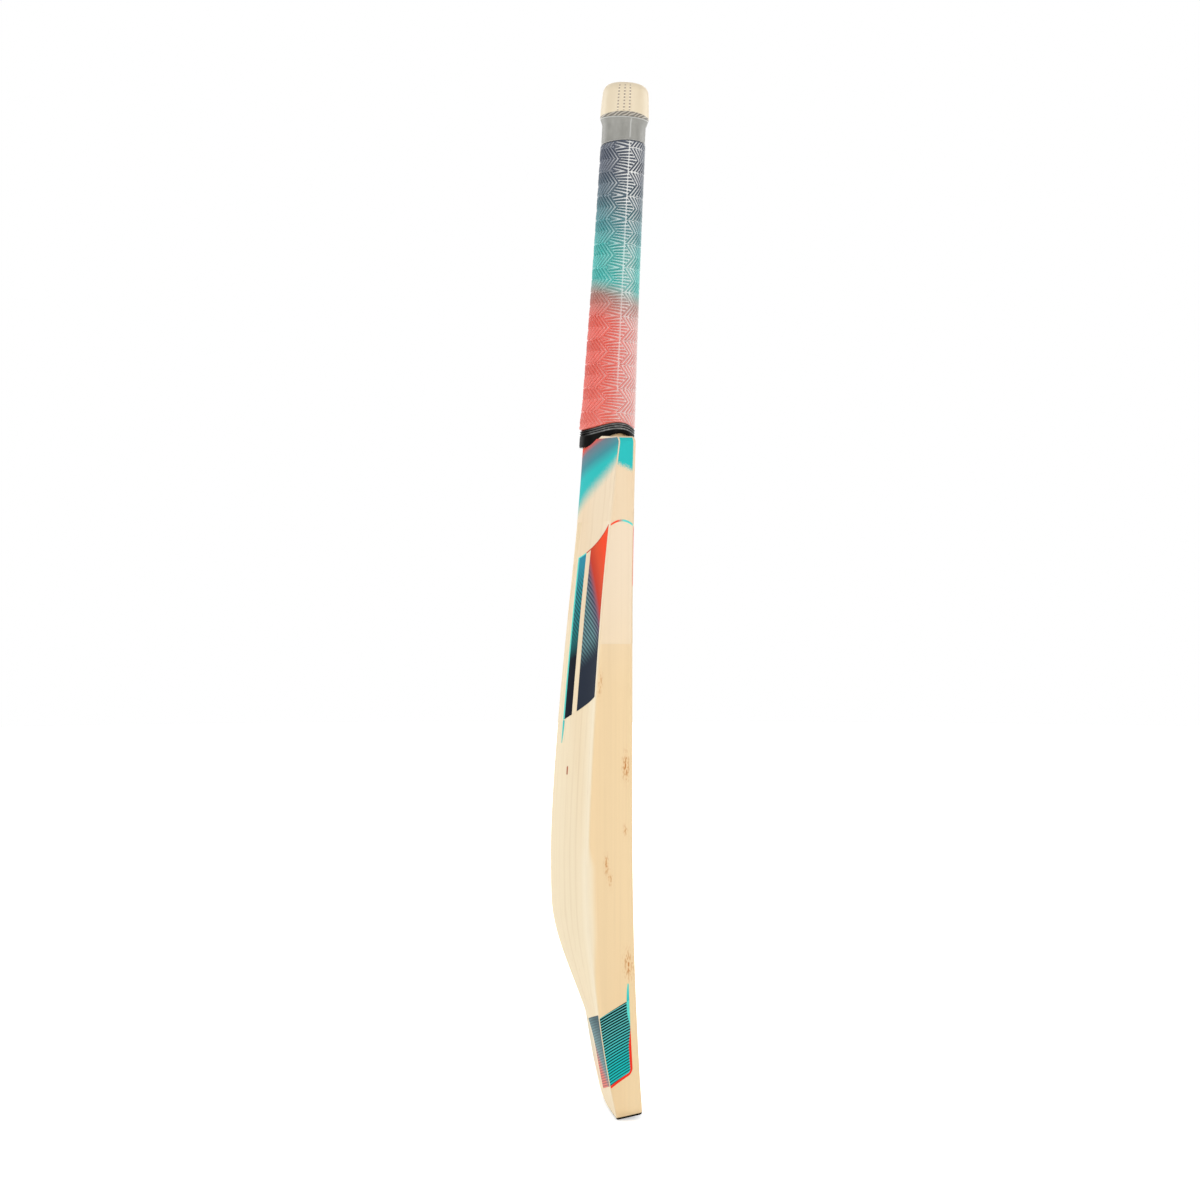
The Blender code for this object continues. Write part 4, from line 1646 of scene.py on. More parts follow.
@dataclass
class Grip:
    """The rubber sleeve: a ribbed length, a plain ring and a thicker cuff at the handle's end."""

    handle: HandleShape
    lip: float = 0.001
    ribs_top: float = 0.2398
    ring_sway: float = 0.0007
    ring_lean: float = 0.00135
    swell_foot: float = 0.2535
    cuff_foot: float = 0.2594
    cream_foot: float = 0.26285
    cream_arch: float = 0.00125
    cream_fade: float = 0.0004
    cuff_bulge: float = 0.0020
    cuff_round: float = 0.0088
    cuff_lip: float = 0.0030
    cuff_narrowing: float = 0.00105
    flare: float = 0.0009
    flare_length: float = 0.022
    waist: float = 0.0006
    rib_height: float = 0.00105
    rib_sink: float = 0.55
    rib_power: float = 1.5
    rib_fades: Pair = (0.002, 0.0015)
    end_inset: float = 0.0006
    sleeve_columns: int = 236
    sleeve_rows: int = 396
    bore_rows: int = 6
    cuff_columns: int = 240
    stitches: tuple[float, ...] = (156.0, 170.5, 184.0, 336.0, 350.5, 4.0)
    stitch_width: float = 1.5
    stitch_depth: float = 0.0002
    girth: float = 0.138
    periods: int = 3
    chevron_share: float = 0.65
    chevron_pitch: float = 0.0038
    chevron_slope: float = 0.95
    cell_height: float = 0.0201
    cell_start: float = 0.01335
    line_pitch: float = 0.00235
    line_spread: Pair = (0.85, 0.3)
    notch: float = 0.468
    notch_fade: float = 0.01
    pattern_turn: float = math.radians(213)
    mould_seams: Pair = (190.6, 10.6)
    mould_width: float = 1.3
    mould_height: float = 0.85
    mould_foot: Pair = (0.02, 0.055)
    foot_bead: tuple[Pair, ...] = (
        (0.0001, -0.0008), (0.0003, -0.0002), (0.0006, 0.0001), (0.0009, -0.0002), (0.0014, -0.0003))
    step_bead: tuple[Pair, ...] = ((-0.0004, 0.0), (0.0, 0.00025), (0.0003, 0.0001), (0.0005, -0.0003))

    @property
    def top(self) -> float:
        """How far along the handle the grip ends."""
        return self.handle.length + self.lip

    def ring_shift(self, turn: float) -> float:
        """How far the plain ring's foot lies above its middle level."""
        return self.ring_sway * math.cos(2 * turn) - self.ring_lean * math.sin(turn)

    def rib(self, turn: float, along: float) -> float:
        """The height of the moulded pattern: arrowheads, and level lines between them.

        Args:
            turn: Angle round the handle.
            along: Distance along the handle.

        Returns:
            The share of the full height.
        """
        period = self.girth / self.periods
        around = (turn - self.pattern_turn) / (2 * math.pi) * self.girth
        cell = ((along - self.cell_start) / self.cell_height) % 1.0 - 0.5
        arrow = (around + abs(cell) * self.cell_height * self.chevron_slope) % period
        ribbon = arrow - period * self.chevron_share
        if ribbon < 0:
            if abs(cell) > self.notch:
                return smooth((0.5 - self.notch) / (abs(cell) - self.notch + self.notch_fade) - 0.5)
            phase = arrow / self.chevron_pitch
        else:
            least, growth = self.line_spread
            spread = least + growth * ribbon / (period * (1 - self.chevron_share))
            phase = cell * self.cell_height / (self.line_pitch * spread)
        return (0.5 + 0.5 * math.cos(2 * math.pi * phase)) ** self.rib_power

    def mould_line(self, turn: float) -> float:
        """How close a turn round the handle is to a fine seam that the mould leaves, which carries a painted
        highlight.
        """
        return max(bell(math.degrees(turn) - seam, self.mould_width) for seam in self.mould_seams)

    def sleeve(self) -> BMesh:
        """The ribbed length, with its rolled foot and its bore.

        Returns:
            The mesh, which marks its ribs and its mould seams.
        """
        handle, outer_rows = self.handle, self.sleeve_rows
        skin, bore, last = handle.sleeve_walls, handle.bore, outer_rows + self.bore_rows
        turns = [turn_of(column, self.sleeve_columns) for column in range(self.sleeve_columns)]
        feet = [handle.saddle(handle.collar_top, turn) + GAP for turn in turns]
        tops = [self.ribs_top + self.ring_shift(turn) for turn in turns]
        (start, end), (foot_fade, top_fade) = self.mould_foot, self.rib_fades

        def upwards(column: int, row: int) -> float:
            """How far along the handle a row of the outside lies."""
            return blend(feet[column], tops[column], row / outer_rows)

        def height(column: int, row: int) -> float:
            """The height of the moulding.

            Args:
                column: Step round the handle.
                row: Step up the outside, over the end and down the bore.

            Returns:
                The share of the full height.
            """
            if row > outer_rows:
                return 0.0
            along = upwards(column, row)
            moulded = blend(self.rib(turns[column], along), self.mould_height, seam(column, row))
            ease = smooth((tops[column] - along) / top_fade)
            return moulded * ease * smooth((along - feet[column]) / foot_fade)

        def seam(column: int, row: int) -> float:
            """How close a point of the outside is to a mould seam, which fades towards the foot."""
            near = self.mould_line(turns[column]) * smooth((upwards(column, row) - start) / (end - start))
            return near if row <= outer_rows else 0.0

        def spot(column: int, row: int) -> Vector:
            """The place of a point.

            Args:
                column: Step round the handle.
                row: Step up the outside, over the end and down the bore.

            Returns:
                The place in the bat's frame.
            """
            turn, foot, top = turns[column], feet[column], tops[column]
            if row in (0, last):
                return handle.spot(turn, foot, skin - self.end_inset)
            if row <= outer_rows:
                along = upwards(column, row)
                near_foot = smooth(1 - (along - foot) / self.flare_length)
                flare = self.flare * near_foot * (0.5 + 0.5 * math.sin(turn))
                waist = self.waist * math.sin(math.pi * along / self.ribs_top) if along > 0 else 0.0
                outside = skin - self.rib_height * self.rib_sink + flare - waist
                return handle.spot(turn, along, outside + self.rib_height * height(column, row))
            inwards = row - outer_rows
            if inwards <= 2:
                return handle.spot(turn, top, blend(skin - self.end_inset, bore, inwards - 1))
            share = (last - 1 - row) / (last - 1 - outer_rows - 2)
            return handle.spot(turn, blend(foot, top, share), bore)

        return tube(self.sleeve_columns, last, spot, {"rib": height, "seam": seam})

    def cuff(self) -> BMesh:
        """The plain ring, the step up to the cuff, the cuff's rounded end and its bore.

        Returns:
            The mesh, which marks its stitches, its cream and banded stretches, its pale lines and the painted
            highlight along its mould seams.
        """
        handle, columns, top = self.handle, self.cuff_columns, self.top
        skin, bore = handle.sleeve_walls, handle.bore
        foot, step, bulge = self.ribs_top, self.cuff_foot, skin + self.cuff_bulge
        narrow, full = bulge - self.cuff_narrowing, self.cream_foot - self.cream_arch
        straight_end, arch_end = top - self.cuff_round, self.cream_foot + 2.5 * self.cream_arch
        swell_length, cuff_length = full - self.swell_foot, straight_end - full

        def swollen(along: float) -> float:
            """How far outside the cane the skin lies: it swells up to the cuff's foot and then narrows."""
            swelling = blend(skin - 0.0001, bulge, smooth((along - self.swell_foot) / swell_length))
            return swelling if along < full else blend(bulge, narrow, ((along - full) / cuff_length) ** 1.6)

        def ease(start: float, end: float, count: int) -> list[Pair]:
            """So many points of the outside from start up to end, which is left out."""
            alongs = (blend(start, end, s / count) for s in range(count))
            return [(along, swollen(along)) for along in alongs]

        profile = [(foot + up, skin + out) for up, out in self.foot_bead]
        bead_end = len(profile)
        profile += ease(foot + 0.0030, self.swell_foot, 8) + ease(self.swell_foot, step - 0.0005, 8)
        line_row = len(profile) + 1
        profile += [(step + up, swollen(step + up) + out) for up, out in self.step_bead]
        band_row = len(profile)
        profile += ease(step + 0.0008, arch_end, 20) + ease(arch_end, straight_end, 14)
        for angle in (math.radians(6 * turn) for turn in range(16)):
            inwards = (narrow + self.cuff_lip) * (1 - math.cos(angle))
            profile.append((straight_end + self.cuff_round * math.sin(angle), narrow - inwards))
        dome_end = len(profile)
        profile += [(top - 0.0002, -self.cuff_lip - 0.0004), (top - 0.0006, -self.cuff_lip - 0.0003),
                    (top - 0.0007, -0.0010), (top - 0.0014, 0.0003), (top - 0.0028, bore),
                    (top - 0.012, bore), (foot + 0.0001, bore), profile[0]]

        fades = [smooth((straight_end + 0.0065 - along) / 0.002) for along, _ in profile[:dome_end]]
        fades[:band_row + 1] = [0.0] * (band_row + 1)
        fades += [0.0] * (len(profile) - dome_end)
        pale_rows = {2: 0.55, line_row: 0.85, line_row + 1: 0.25}

        def shifted(along: float, turn: float) -> float:
            """The place along the handle, moved as the ring's foot is."""
            return along + self.ring_shift(turn) * (1 - smooth((along - foot) / (self.swell_foot - foot)))

        def over_foot(column: int, row: int) -> float:
            """How far a point is above the foot of the cream."""
            arch = self.cream_arch * math.cos(2 * turn_of(column, columns))
            return profile[row][0] - self.cream_foot - arch

        def grooved(column: int, row: int) -> float:
            """How deep in a stitched groove a point is, as a share of the full depth."""
            near = max(bell(360.0 * column / columns - place, self.stitch_width) for place in self.stitches)
            return smooth((over_foot(column, row) - 0.0002) / 0.001) * fades[row] * near

        def spot(column: int, row: int) -> Vector:
            """The place of a point."""
            turn, (along, outside) = turn_of(column, columns), profile[row]
            return handle.spot(turn, shifted(along, turn), outside - self.stitch_depth * grooved(column, row))

        def cream(column: int, row: int) -> float:
            """Whether a point is cream and not grey."""
            return smooth(over_foot(column, row) / self.cream_fade + 0.5) if row < dome_end + 2 else 0.0

        def band(column: int, row: int) -> float:
            """Whether a point is in the slanted band or above it."""
            return float(band_row <= row < dome_end + 2)

        def line(column: int, row: int) -> float:
            """How pale a point of a line round the ring is, or of the painted highlight along a mould seam on
            it.
            """
            seam = 0.5 * self.mould_line(turn_of(column, columns))
            return seam if bead_end <= row < line_row - 1 else pale_rows.get(row, 0.0)

        marks = {"groove": grooved, "cream": cream, "band": band, "line": line}
        return tube(columns, len(profile) - 1, spot, marks)

    def build(self) -> None:
        """Makes and dresses the sleeve and the cuff."""
        sleeve = new_piece("grip_sleeve", self.sleeve(), GripRubber().material())
        settle(sleeve, "grip_rubber", "grip")
        cuff = new_piece("grip_cuff", self.cuff(), CuffRubber().material())
        settle(cuff, "grip_rubber", "grip")


@dataclass
class Collar:
    """The black rubber band that lies over the shoulders like a saddle."""

    handle: HandleShape
    columns: int = 240
    rows: int = 72
    ridges: int = 3
    ridge_pitch: float = 0.0019
    ridge_depth: float = 0.0011
    roundness: float = 0.0009
    round_reaches: Pair = (0.0004, 0.0008)
    round_share: float = 0.7
    ridge_flatness: float = 0.8
    ridge_fades: Pair = (0.0006, 0.002)
    front_drop: float = 0.0021
    drop_start: float = 0.35
    side_lift: float = 0.0009
    lift_turn: float = -0.06
    lift_reach: float = 0.16
    highlight_side_end: float = 0.95
    highlight_side_fade: float = 0.5
    highlight_power: float = 1.5
    upper_highlight: float = 0.75

    def foot(self, turn: float) -> float:
        """The level of the band's foot, a little higher at the sides and lower beside the face.

        Args:
            turn: Angle round the handle.

        Returns:
            The distance along the handle.
        """
        lower = smooth((-math.sin(turn) - self.drop_start) / self.drop_start)
        higher = bell(math.atan2(math.sin(turn), abs(math.cos(turn))) - self.lift_turn, self.lift_reach)
        foot = self.handle.saddle(self.handle.collar_foot, turn)
        return foot - self.front_drop * lower + self.side_lift * higher

    def ridge_wave(self, below: float) -> float:
        """How close to the top of a ridge a point below the band's top is, from 0 to 1."""
        return abs(math.sin(math.pi * below / self.ridge_pitch))

    def relief(self, below: float, above: float) -> float:
        """How far in the band's surface lies.

        Args:
            below: Distance below the band's top.
            above: Distance above its foot.

        Returns:
            The depth under the band's full size.
        """
        ridge, (foot_fade, edge_fade) = 1 - self.ridge_wave(below) ** self.ridge_flatness, self.ridge_fades
        ridge *= smooth((self.ridges * self.ridge_pitch - below) / foot_fade) * smooth(above / edge_fade)
        ends = sum(bell(off, reach) for off, reach in zip((below, above), self.round_reaches))
        return self.ridge_depth * ridge + self.roundness * ends * self.round_share

    def build(self) -> None:
        """Makes and dresses the band: ridges under the grip, smooth below them."""
        handle, rows = self.handle, self.rows
        skin, bore = handle.sleeve_walls + handle.collar_proud, handle.bore
        turns = [turn_of(column, self.columns) for column in range(self.columns)]
        levels = [(self.foot(turn), handle.saddle(handle.collar_top, turn)) for turn in turns]

        def spot(column: int, row: int) -> Vector:
            """The place of a point.

            Args:
                column: Step round the handle.
                row: Step up the outside and then down the bore.

            Returns:
                The place in the bat's frame.
            """
            turn, (low, high) = turns[column], levels[column]
            if row <= rows:
                along = blend(low, high, row / rows)
                return handle.spot(turn, along, skin - self.relief(high - along, along - low), 0.0)
            if row < rows + 3:
                return handle.spot(turn, (high, low)[row - rows - 1], bore, 0.0)
            return spot(column, 0)

        def crest(column: int, row: int) -> float:
            """How strongly the painted highlight shows at a point: near the top of a ridge, most on the face
            side and on the lowest ridge.

            Args:
                column: Step round the handle.
                row: Step up the outside and then down the bore.

            Returns:
                The share of the painted highlight.
            """
            low, high = levels[column]
            below = (high - low) * (1 - row / rows)
            if row > rows or below > self.ridges * self.ridge_pitch:
                return 0.0
            # Painted highlight: strongest on the face side, and full only on the lowest ridge.
            highlit = smooth((self.highlight_side_end - math.sin(turns[column])) / self.highlight_side_fade)
            highlit *= 1.0 if below > (self.ridges - 1) * self.ridge_pitch else self.upper_highlight
            return highlit * self.ridge_wave(below) ** self.highlight_power

        finish = BlackRubber("collar rubber", roughness=0.2, wear=0.1, specular=0.45, crest=1.0, bending=1.10)
        mesh = tube(self.columns, rows + 3, spot, {"crest": crest})
        settle(new_piece("collar_ridges", mesh, finish.material()), "black_rubber", "collar_band")


@dataclass
class ToeGuard:
    """The thin black pad under the toe, with upright sides, a little smaller than the toe."""

    shape: BladeShape
    steps: SectionSteps = field(default_factory=SectionSteps)
    edge_round: float = 0.0004
    side_inset: float = 0.0045
    back_inset: float = 0.0013
    top_round: float = 0.0002

    def build(self) -> None:
        """Makes and dresses the pad."""
        shape, foot, edge_round = self.shape, self.shape.guard_thickness, self.edge_round
        half, front, thickness = shape.half_width(foot), shape.face_side(foot), shape.edge_thickness(foot)
        deep, top, columns = thickness / 2, foot - GAP / 3, 2 * self.steps.half
        middle = front + deep
        rows = [(0.0, edge_round), (0.00015, edge_round * 0.45), (0.0004, edge_round * 0.15),
                (edge_round, 0.0), (top - self.top_round, 0.0), (top, self.top_round)]

        outline = [self.steps.place(shape, column, foot, half - self.side_inset) for column in range(columns)]
        outline = [(across, back - self.back_inset * (back - front) / thickness) for across, back in outline]

        def spot(column: int, row: int) -> Vector:
            """The place of a point, moved in where the pad's edges are rounded.

            Args:
                column: Step round the toe.
                row: Step up from the underside.

            Returns:
                The place in the bat's frame.
            """
            (across, back), (height, inset) = outline[column], rows[row]
            back = middle + (back - middle) * (1 - inset / deep)
            return shape.point(across * (1 - inset / half), back, height)

        finish = BlackRubber("guard rubber", roughness=0.7, wear=0.1, specular=0.03)
        mesh = close_ends(tube(columns, len(rows) - 1, spot))
        settle(new_piece("toe_pad", mesh, finish.material()), "black_rubber", "toe_guard")


@dataclass
class Labels:
    """The thin vinyl labels that follow the blade."""

    shape: BladeShape
    handle: HandleShape
    willow: Willow
    margin: float = 0.0012
    face_margin: float = 0.0016
    edge_margin: float = 0.0008
    lift: float = 0.00006
    thickness: float = 0.00012
    nudge: float = 0.004
    shoulder_drops: Pair = (0.0004, 0.069)
    collar_clear: float = 0.0002
    shoulder_edge_drops: Pair = (0.0010, 0.033)
    shoulder_face_margin: float = 0.0020
    flank_drops: Pair = (0.0715, 0.2125)
    flank_sides: Pair = (0.0122, 0.0516)
    flank_top: Pair = (0.027, 0.65)
    flank_foot: Pair = (0.021, 0.17)
    edge_drops: Pair = (0.0715, 0.1695)
    edge_arch: float = 0.0036
    face_drops: Pair = (0.059, 0.169)
    toe_heights: Pair = (0.0282, 0.083)
    toe_slants: Pair = (0.0098, 0.0147)
    toe_face_margin: float = 0.0056
    toe_back_heights: Pair = (0.0300, 0.0858)
    toe_back_slant: float = 0.0125
    toe_rule: Pair = (0.0964, 0.111)
    toe_rule_slant: float = 0.0015
    flank_rule: Pair = (0.3239, 0.305)
    rule_widths: Pair = (0.0021, 0.0023)
    rule_points: Pair = (0.55, 0.75)

    def drop(self, drops: Pair, v: float) -> float:
        """The height at a share of the way up a label that hangs from the shoulders."""
        return self.shape.length - drops[1] + (drops[1] - drops[0]) * v

    def on_back(self, across: float, height: float) -> Vector:
        """A point of the back, past the round of its corners."""
        return self.shape.skin(across, self.shape.broad_back(across, height, True), height)

    def on_edge(self, side: Side, back: float, height: float) -> Vector:
        """A point of an edge, past the round of its corners."""
        return self.shape.skin(side.value * self.shape.edge_across(back, height), back, height)

    def below_collar(self, u: float, v: float) -> Vector:
        """A point of the label across the back at the shoulders, whose top follows the collar's foot.

        Args:
            u: Share of the way across.
            v: Share of the way up.

        Returns:
            The point in the bat's frame.
        """
        low, high = (self.drop(self.shoulder_drops, end) for end in (0.0, 1.0))
        across = (self.shape.half - self.margin) * (2 * u - 1)
        foot = self.handle.seat_height(across, self.shape.spine_back(across, high))
        height = low + (min(high, foot - self.collar_clear) - low) * v
        return self.on_back((self.shape.half_width(height) - self.margin) * (2 * u - 1), height)

    def across_toe(self, u: float, v: float) -> Vector:
        """A point of the label across the back at the toe, lower on the spine.

        Args:
            u: Share of the way across.
            v: Share of the way up.

        Returns:
            The point in the bat's frame.
        """
        across = (self.shape.half - self.margin) * (2 * u - 1)
        dip = self.toe_back_slant * (1 - abs(across) / self.shape.half)
        return self.on_back(across, along_pair(self.toe_back_heights, v) - dip)

    def across_face(self, u: float, v: float) -> Vector:
        """A point of the label across the face."""
        across, height = (self.shape.half - self.face_margin) * (2 * u - 1), self.drop(self.face_drops, v)
        return self.shape.skin(across, self.shape.broad_back(across, height, False), height)

    def along_edge(self, side: Side, ends: Pair, slants: Pair, face_margin: float, arch: float,
                   u: float, v: float) -> Vector:
        """A point of a label along an edge.

        Args:
            side: Which edge it is on.
            ends: Heights of its foot and its top, beside the back.
            slants: How much higher its foot and its top are beside the face.
            face_margin: Bare wood beside the face.
            arch: How much higher its top is in the middle.
            u: Share of the way across, from the face.
            v: Share of the way up.

        Returns:
            The point in the bat's frame.
        """
        slant = along_pair(slants, v) * (1 - u)
        height = along_pair(ends, v) + slant + arch * v * (1 - (2 * u - 1) ** 2)
        half = self.shape.half_width(height)
        front = self.shape.face_back(half, height) + face_margin
        back = self.shape.spine_back(half, height) - self.edge_margin
        return self.on_edge(side, along_pair((front, back), u), height)

    def on_flank(self, side: Side, u: float, v: float) -> Vector:
        """A point of the slanted label on a flank.

        Args:
            side: Which flank it is on.
            u: Share of the way across, from the spine.
            v: Share of the way up.

        Returns:
            The point in the bat's frame.
        """
        ends = tuple(self.drop(self.flank_drops, end) - fall * (1 - u * (1 - bow) - u * u * bow)
                     for end, (fall, bow) in ((0.0, self.flank_foot), (1.0, self.flank_top)))
        return self.on_back(side.value * along_pair(self.flank_sides, u), along_pair(ends, v))

    def toe_line(self, side: Side, u: float, v: float) -> Vector:
        """A point of the fine line that runs on past the toe's edge panel.

        Args:
            side: Which edge it is on.
            u: Share of the way across, from the face.
            v: Share of the way up.

        Returns:
            The point in the bat's frame.
        """
        foot = self.toe_rule[0] + self.toe_rule_slant * (1 - u)
        height = along_pair((foot, self.toe_rule[1]), v)
        front = self.shape.face_back(self.shape.half, height) + self.toe_face_margin
        width = self.rule_widths[0] * u * (1 - self.rule_points[0] * v * v)
        return self.on_edge(side, front + width, height)

    def flank_line(self, side: Side, u: float, v: float) -> Vector:
        """A point of the fine line that runs on down past the flank's slim panel."""
        across = self.flank_sides[0] + self.rule_widths[1] * u * (1 - self.rule_points[1] * v * v)
        return self.on_back(side.value * across, along_pair(self.flank_rule, v))

    def lay(self, name: str, slot: str, node: str, place: Place, outward: Vector, grid: tuple[int, int],
            material: Material) -> None:
        """Makes a thin sheet that follows the blade.

        Args:
            name: The piece's name.
            slot: Its material slot.
            node: The solid that it stands for.
            place: The place of each point by its shares across and along.
            outward: Roughly where it faces.
            grid: Its steps across and along.
            material: Its finish.
        """
        nudge = self.nudge
        bm = bmesh.new()
        bmesh.ops.create_grid(bm, x_segments=grid[0], y_segments=grid[1], size=0.5)
        across, along = (bm.verts.layers.float.new(word) for word in ("across", "along"))
        for vert in bm.verts:
            u, v = vert.co.x + 0.5, vert.co.y + 0.5
            side = place(u + nudge, v) - place(u - nudge, v)
            rise = place(u, v + nudge) - place(u, v - nudge)
            normal = side.cross(rise).normalized()
            if normal.dot(outward) < 0:
                normal.negate()
            vert[across], vert[along] = u, v
            vert.co = place(u, v) + normal * (self.lift + self.thickness)
        bm.normal_update()
        if bm.faces[:][0].normal.dot(outward) < 0:
            bmesh.ops.reverse_faces(bm, faces=bm.faces[:])
        bmesh.ops.solidify(bm, geom=bm.faces[:], thickness=self.thickness)
        settle(new_piece(name, bm, material), slot, node)

    def build(self) -> None:
        """Makes and dresses every label."""
        willow, back, front = self.willow, Vector((0, 1, 0)), Vector((0, -1, 0))
        inks = ((0.5205, Tint.BRIGHT_TEAL), (0.530, Tint.BLUE_SLATE), (0.5408, Tint.MAUVE),
                (0.5480, Tint.HOT_CORAL))
        fade = ShoulderFade("shoulder fade", willow, bare=0.4867, full=0.5081, inks=inks,
                            slant=0.727, ink_slant=0.46, narrowing=0.081)
        self.lay("print_shoulder_back", "fade_vinyl", "label_shoulder_back", self.below_collar, back,
                 (96, 40), fade.material())
        self.lay("print_toe_back", "panel_vinyl", "label_toe_back", self.across_toe, back,
                 (72, 30), ToeBackPanel(willow).material())
        self.lay("print_face", "panel_vinyl", "label_face", self.across_face, front,
                 (80, 40), FacePanel(willow).material())
        inks = ((0.530, Tint.BRIGHT_TEAL), (0.550, Tint.BRIGHT_TEAL))
        edge_fade = ShoulderFade("shoulder edge fade", willow, bare=0.5290, full=0.5350, inks=inks,
                                 edge=1.0, back_slant=0.45).material()
        film, panel = ClearFilm(willow).material(), FlankPanel(willow).material()
        toe, rule = ToeEdgePanel(willow).material(), FineRule().material()
        shoulder_ends, edge_ends = (tuple(self.drop(drops, v) for v in (0.0, 1.0))
                                    for drops in (self.shoulder_edge_drops, self.edge_drops))
        level = (0.0, 0.0)
        for side in Side:
            word, out, edge = side.name.lower(), Vector((side.value, 0, 0)), partial(self.along_edge, side)
            shoulder = partial(edge, shoulder_ends, level, self.shoulder_face_margin, 0.0)
            clear = partial(edge, edge_ends, level, self.edge_margin, self.edge_arch)
            low = partial(edge, self.toe_heights, self.toe_slants, self.toe_face_margin, 0.0)
            for name, slot, node, place, facing, grid, finish in (
                ("print_shoulder_edge", "fade_vinyl", "shoulder_edge", shoulder, out, (16, 40), edge_fade),
                ("film_edge", "clear_vinyl", "edge", clear, out, (24, 90), film),
                ("print_toe_edge", "panel_vinyl", "toe_edge", low, out, (24, 60), toe),
                ("print_flank", "panel_vinyl", "flank", partial(self.on_flank, side), back, (48, 60), panel),
                ("print_rule_toe_edge", "panel_vinyl", "toe_edge", partial(self.toe_line, side), out,
                 (4, 24), rule),
                ("print_rule_flank", "panel_vinyl", "flank", partial(self.flank_line, side), back,
                 (4, 24), rule),
            ):
                self.lay(f"{name}_{word}", slot, f"label_{node}_{word}", place, facing, grid, finish)


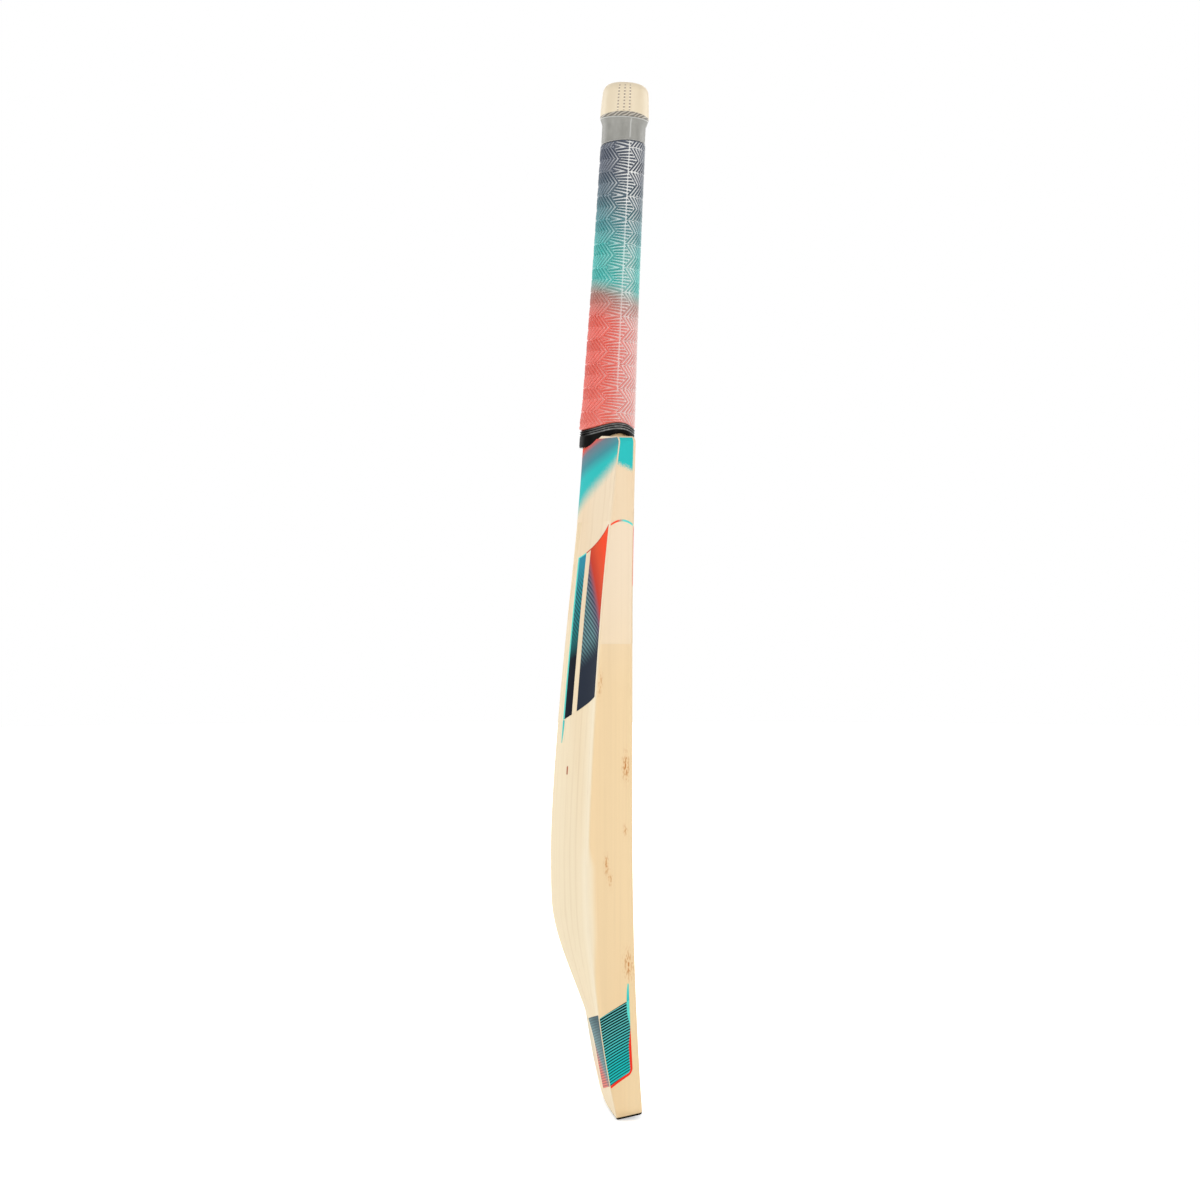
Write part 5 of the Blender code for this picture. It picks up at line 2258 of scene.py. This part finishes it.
@dataclass
class Studio:
    """A pale floor, soft light and the camera."""

    aim: tuple[float, float, float] = (0.0, 0.0188, 0.4239)
    distance: float = 1.900
    yaw: float = math.radians(7.0)
    lens: float = 68.0
    sensor: float = 36.0
    floor_size: float = 6.0
    floor_gap: float = 0.0002
    world_light: float = 0.62
    lamps: tuple[tuple[str, tuple[float, float, float], Pair, float], ...] = (
        ("key", (-1.7, -1.5, 1.3), (1.3, 1.6), 3.5),
        ("fill", (-1.5, 1.7, 0.9), (1.3, 1.6), 12.5),
        ("face", (0.6, -2.1, 1.1), (1.3, 1.6), 12.0),
        ("far_edge", (2.0, -0.3, 1.1), (1.0, 1.6), 7.0),
        ("far_back", (1.3, 1.8, 1.0), (1.2, 1.6), 11.0),
        ("strip", (-1.59, -0.845, 0.75), (0.06, 1.5), 6.0),
    )

    def lamp(self, name: str, place: tuple[float, float, float], size: Pair, watts: float) -> None:
        """A soft box that faces the bat.

        Args:
            name: The lamp's name.
            place: Where it stands.
            size: Its width and height.
            watts: Its power.
        """
        light = bpy.data.lights.new(name, "AREA")
        light.shape = "RECTANGLE"
        light.size, light.size_y = size
        light.energy = watts
        lamp = bpy.data.objects.new(name, light)
        lamp.location = place
        lamp.rotation_euler = (Vector(self.aim) - Vector(place)).to_track_quat("-Z", "Y").to_euler()
        bpy.context.scene.collection.objects.link(lamp)

    def backdrop(self) -> None:
        """The white surroundings: white to look at, softer as light."""
        world = bpy.data.worlds.new("studio")
        bpy.context.scene.world = world
        world.use_nodes = True
        tree = world.node_tree
        background = tree.nodes["Background"]
        background.inputs["Color"].default_value = (1.0, 1.0, 1.0, 1.0)
        path = tree.nodes.new("ShaderNodeLightPath")
        seen = self.seen(tree, path)
        level = tree.nodes.new("ShaderNodeMapRange")
        tree.links.new(seen, level.inputs[0])
        level.inputs["To Min"].default_value = self.world_light
        level.inputs["To Max"].default_value = 1.0
        tree.links.new(level.outputs[0], background.inputs["Strength"])

    @staticmethod
    def seen(tree: NodeTree, path: Node) -> NodeSocket:
        """Where the camera looks, straight or by way of gloss or glass.

        Args:
            tree: The nodes to add to.
            path: The node that tells the rays apart.

        Returns:
            1 for a ray that is seen, or else 0.
        """
        total = path.outputs["Is Camera Ray"]
        for word in ("Is Glossy Ray", "Is Transmission Ray"):
            add = tree.nodes.new("ShaderNodeMath")
            add.operation = "MAXIMUM"
            tree.links.new(total, add.inputs[0])
            tree.links.new(path.outputs[word], add.inputs[1])
            total = add.outputs[0]
        return total

    def floor(self) -> None:
        """A pale floor at the lowest point of the bat, which keeps the bat's shadow."""
        bm = bmesh.new()
        bmesh.ops.create_circle(bm, cap_ends=True, segments=96, radius=self.floor_size)
        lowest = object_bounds()[0][2]
        bmesh.ops.translate(bm, verts=bm.verts[:], vec=(0.0, 0.0, lowest - self.floor_gap))
        kit = NodeKit("studio floor", 0.9, 0.1)
        colour = kit.mix(kit.noise(2.0, 3.0) * 0.02, Tint.FLOOR, Tint.PALE_RIB)
        path = kit.node("ShaderNodeLightPath")
        far = (kit.x * kit.x + kit.y * kit.y).rise(0.06, 0.7) * 0.50 + 0.50
        kit.feed(kit.shader.inputs["Emission Color"], (1.0, 1.0, 1.0, 1.0))
        kit.feed(kit.shader.inputs["Emission Strength"], Wire(kit, self.seen(kit.tree, path)) * far)
        floor = new_piece("studio_floor", bm, kit.finish(colour))
        floor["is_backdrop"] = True

    def camera(self) -> None:
        """The camera at the photograph's viewing angle."""
        lens = bpy.data.cameras.new("camera")
        lens.lens, lens.sensor_width = self.lens, self.sensor
        camera = bpy.data.objects.new("camera", lens)
        away = Vector((-math.cos(self.yaw), math.sin(self.yaw), 0.0))
        camera.location = Vector(self.aim) + away * self.distance
        camera.rotation_euler = (-away).to_track_quat("-Z", "Y").to_euler()
        bpy.context.scene.collection.objects.link(camera)
        bpy.context.scene.camera = camera

    def build(self) -> None:
        """Sets up the whole studio."""
        bpy.context.scene.view_settings.view_transform = "Standard"
        self.backdrop()
        self.floor()
        for lamp in self.lamps:
            self.lamp(*lamp)
        self.camera()


def main() -> None:
    """Builds the bat and its studio."""
    logging.basicConfig(level=logging.INFO, format="%(message)s")
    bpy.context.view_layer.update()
    blade_shape = BladeShape()
    handle_shape = HandleShape(blade_shape)
    willow = Willow()
    blade = Blade(blade_shape, handle_shape, willow)
    blade.build()
    CaneHandle(blade, handle_shape).build()
    Grip(handle_shape).build()
    Collar(handle_shape).build()
    ToeGuard(blade_shape).build()
    Labels(blade_shape, handle_shape, willow).build()
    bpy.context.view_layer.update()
    Studio().build()


if __name__ == "__main__":
    main()
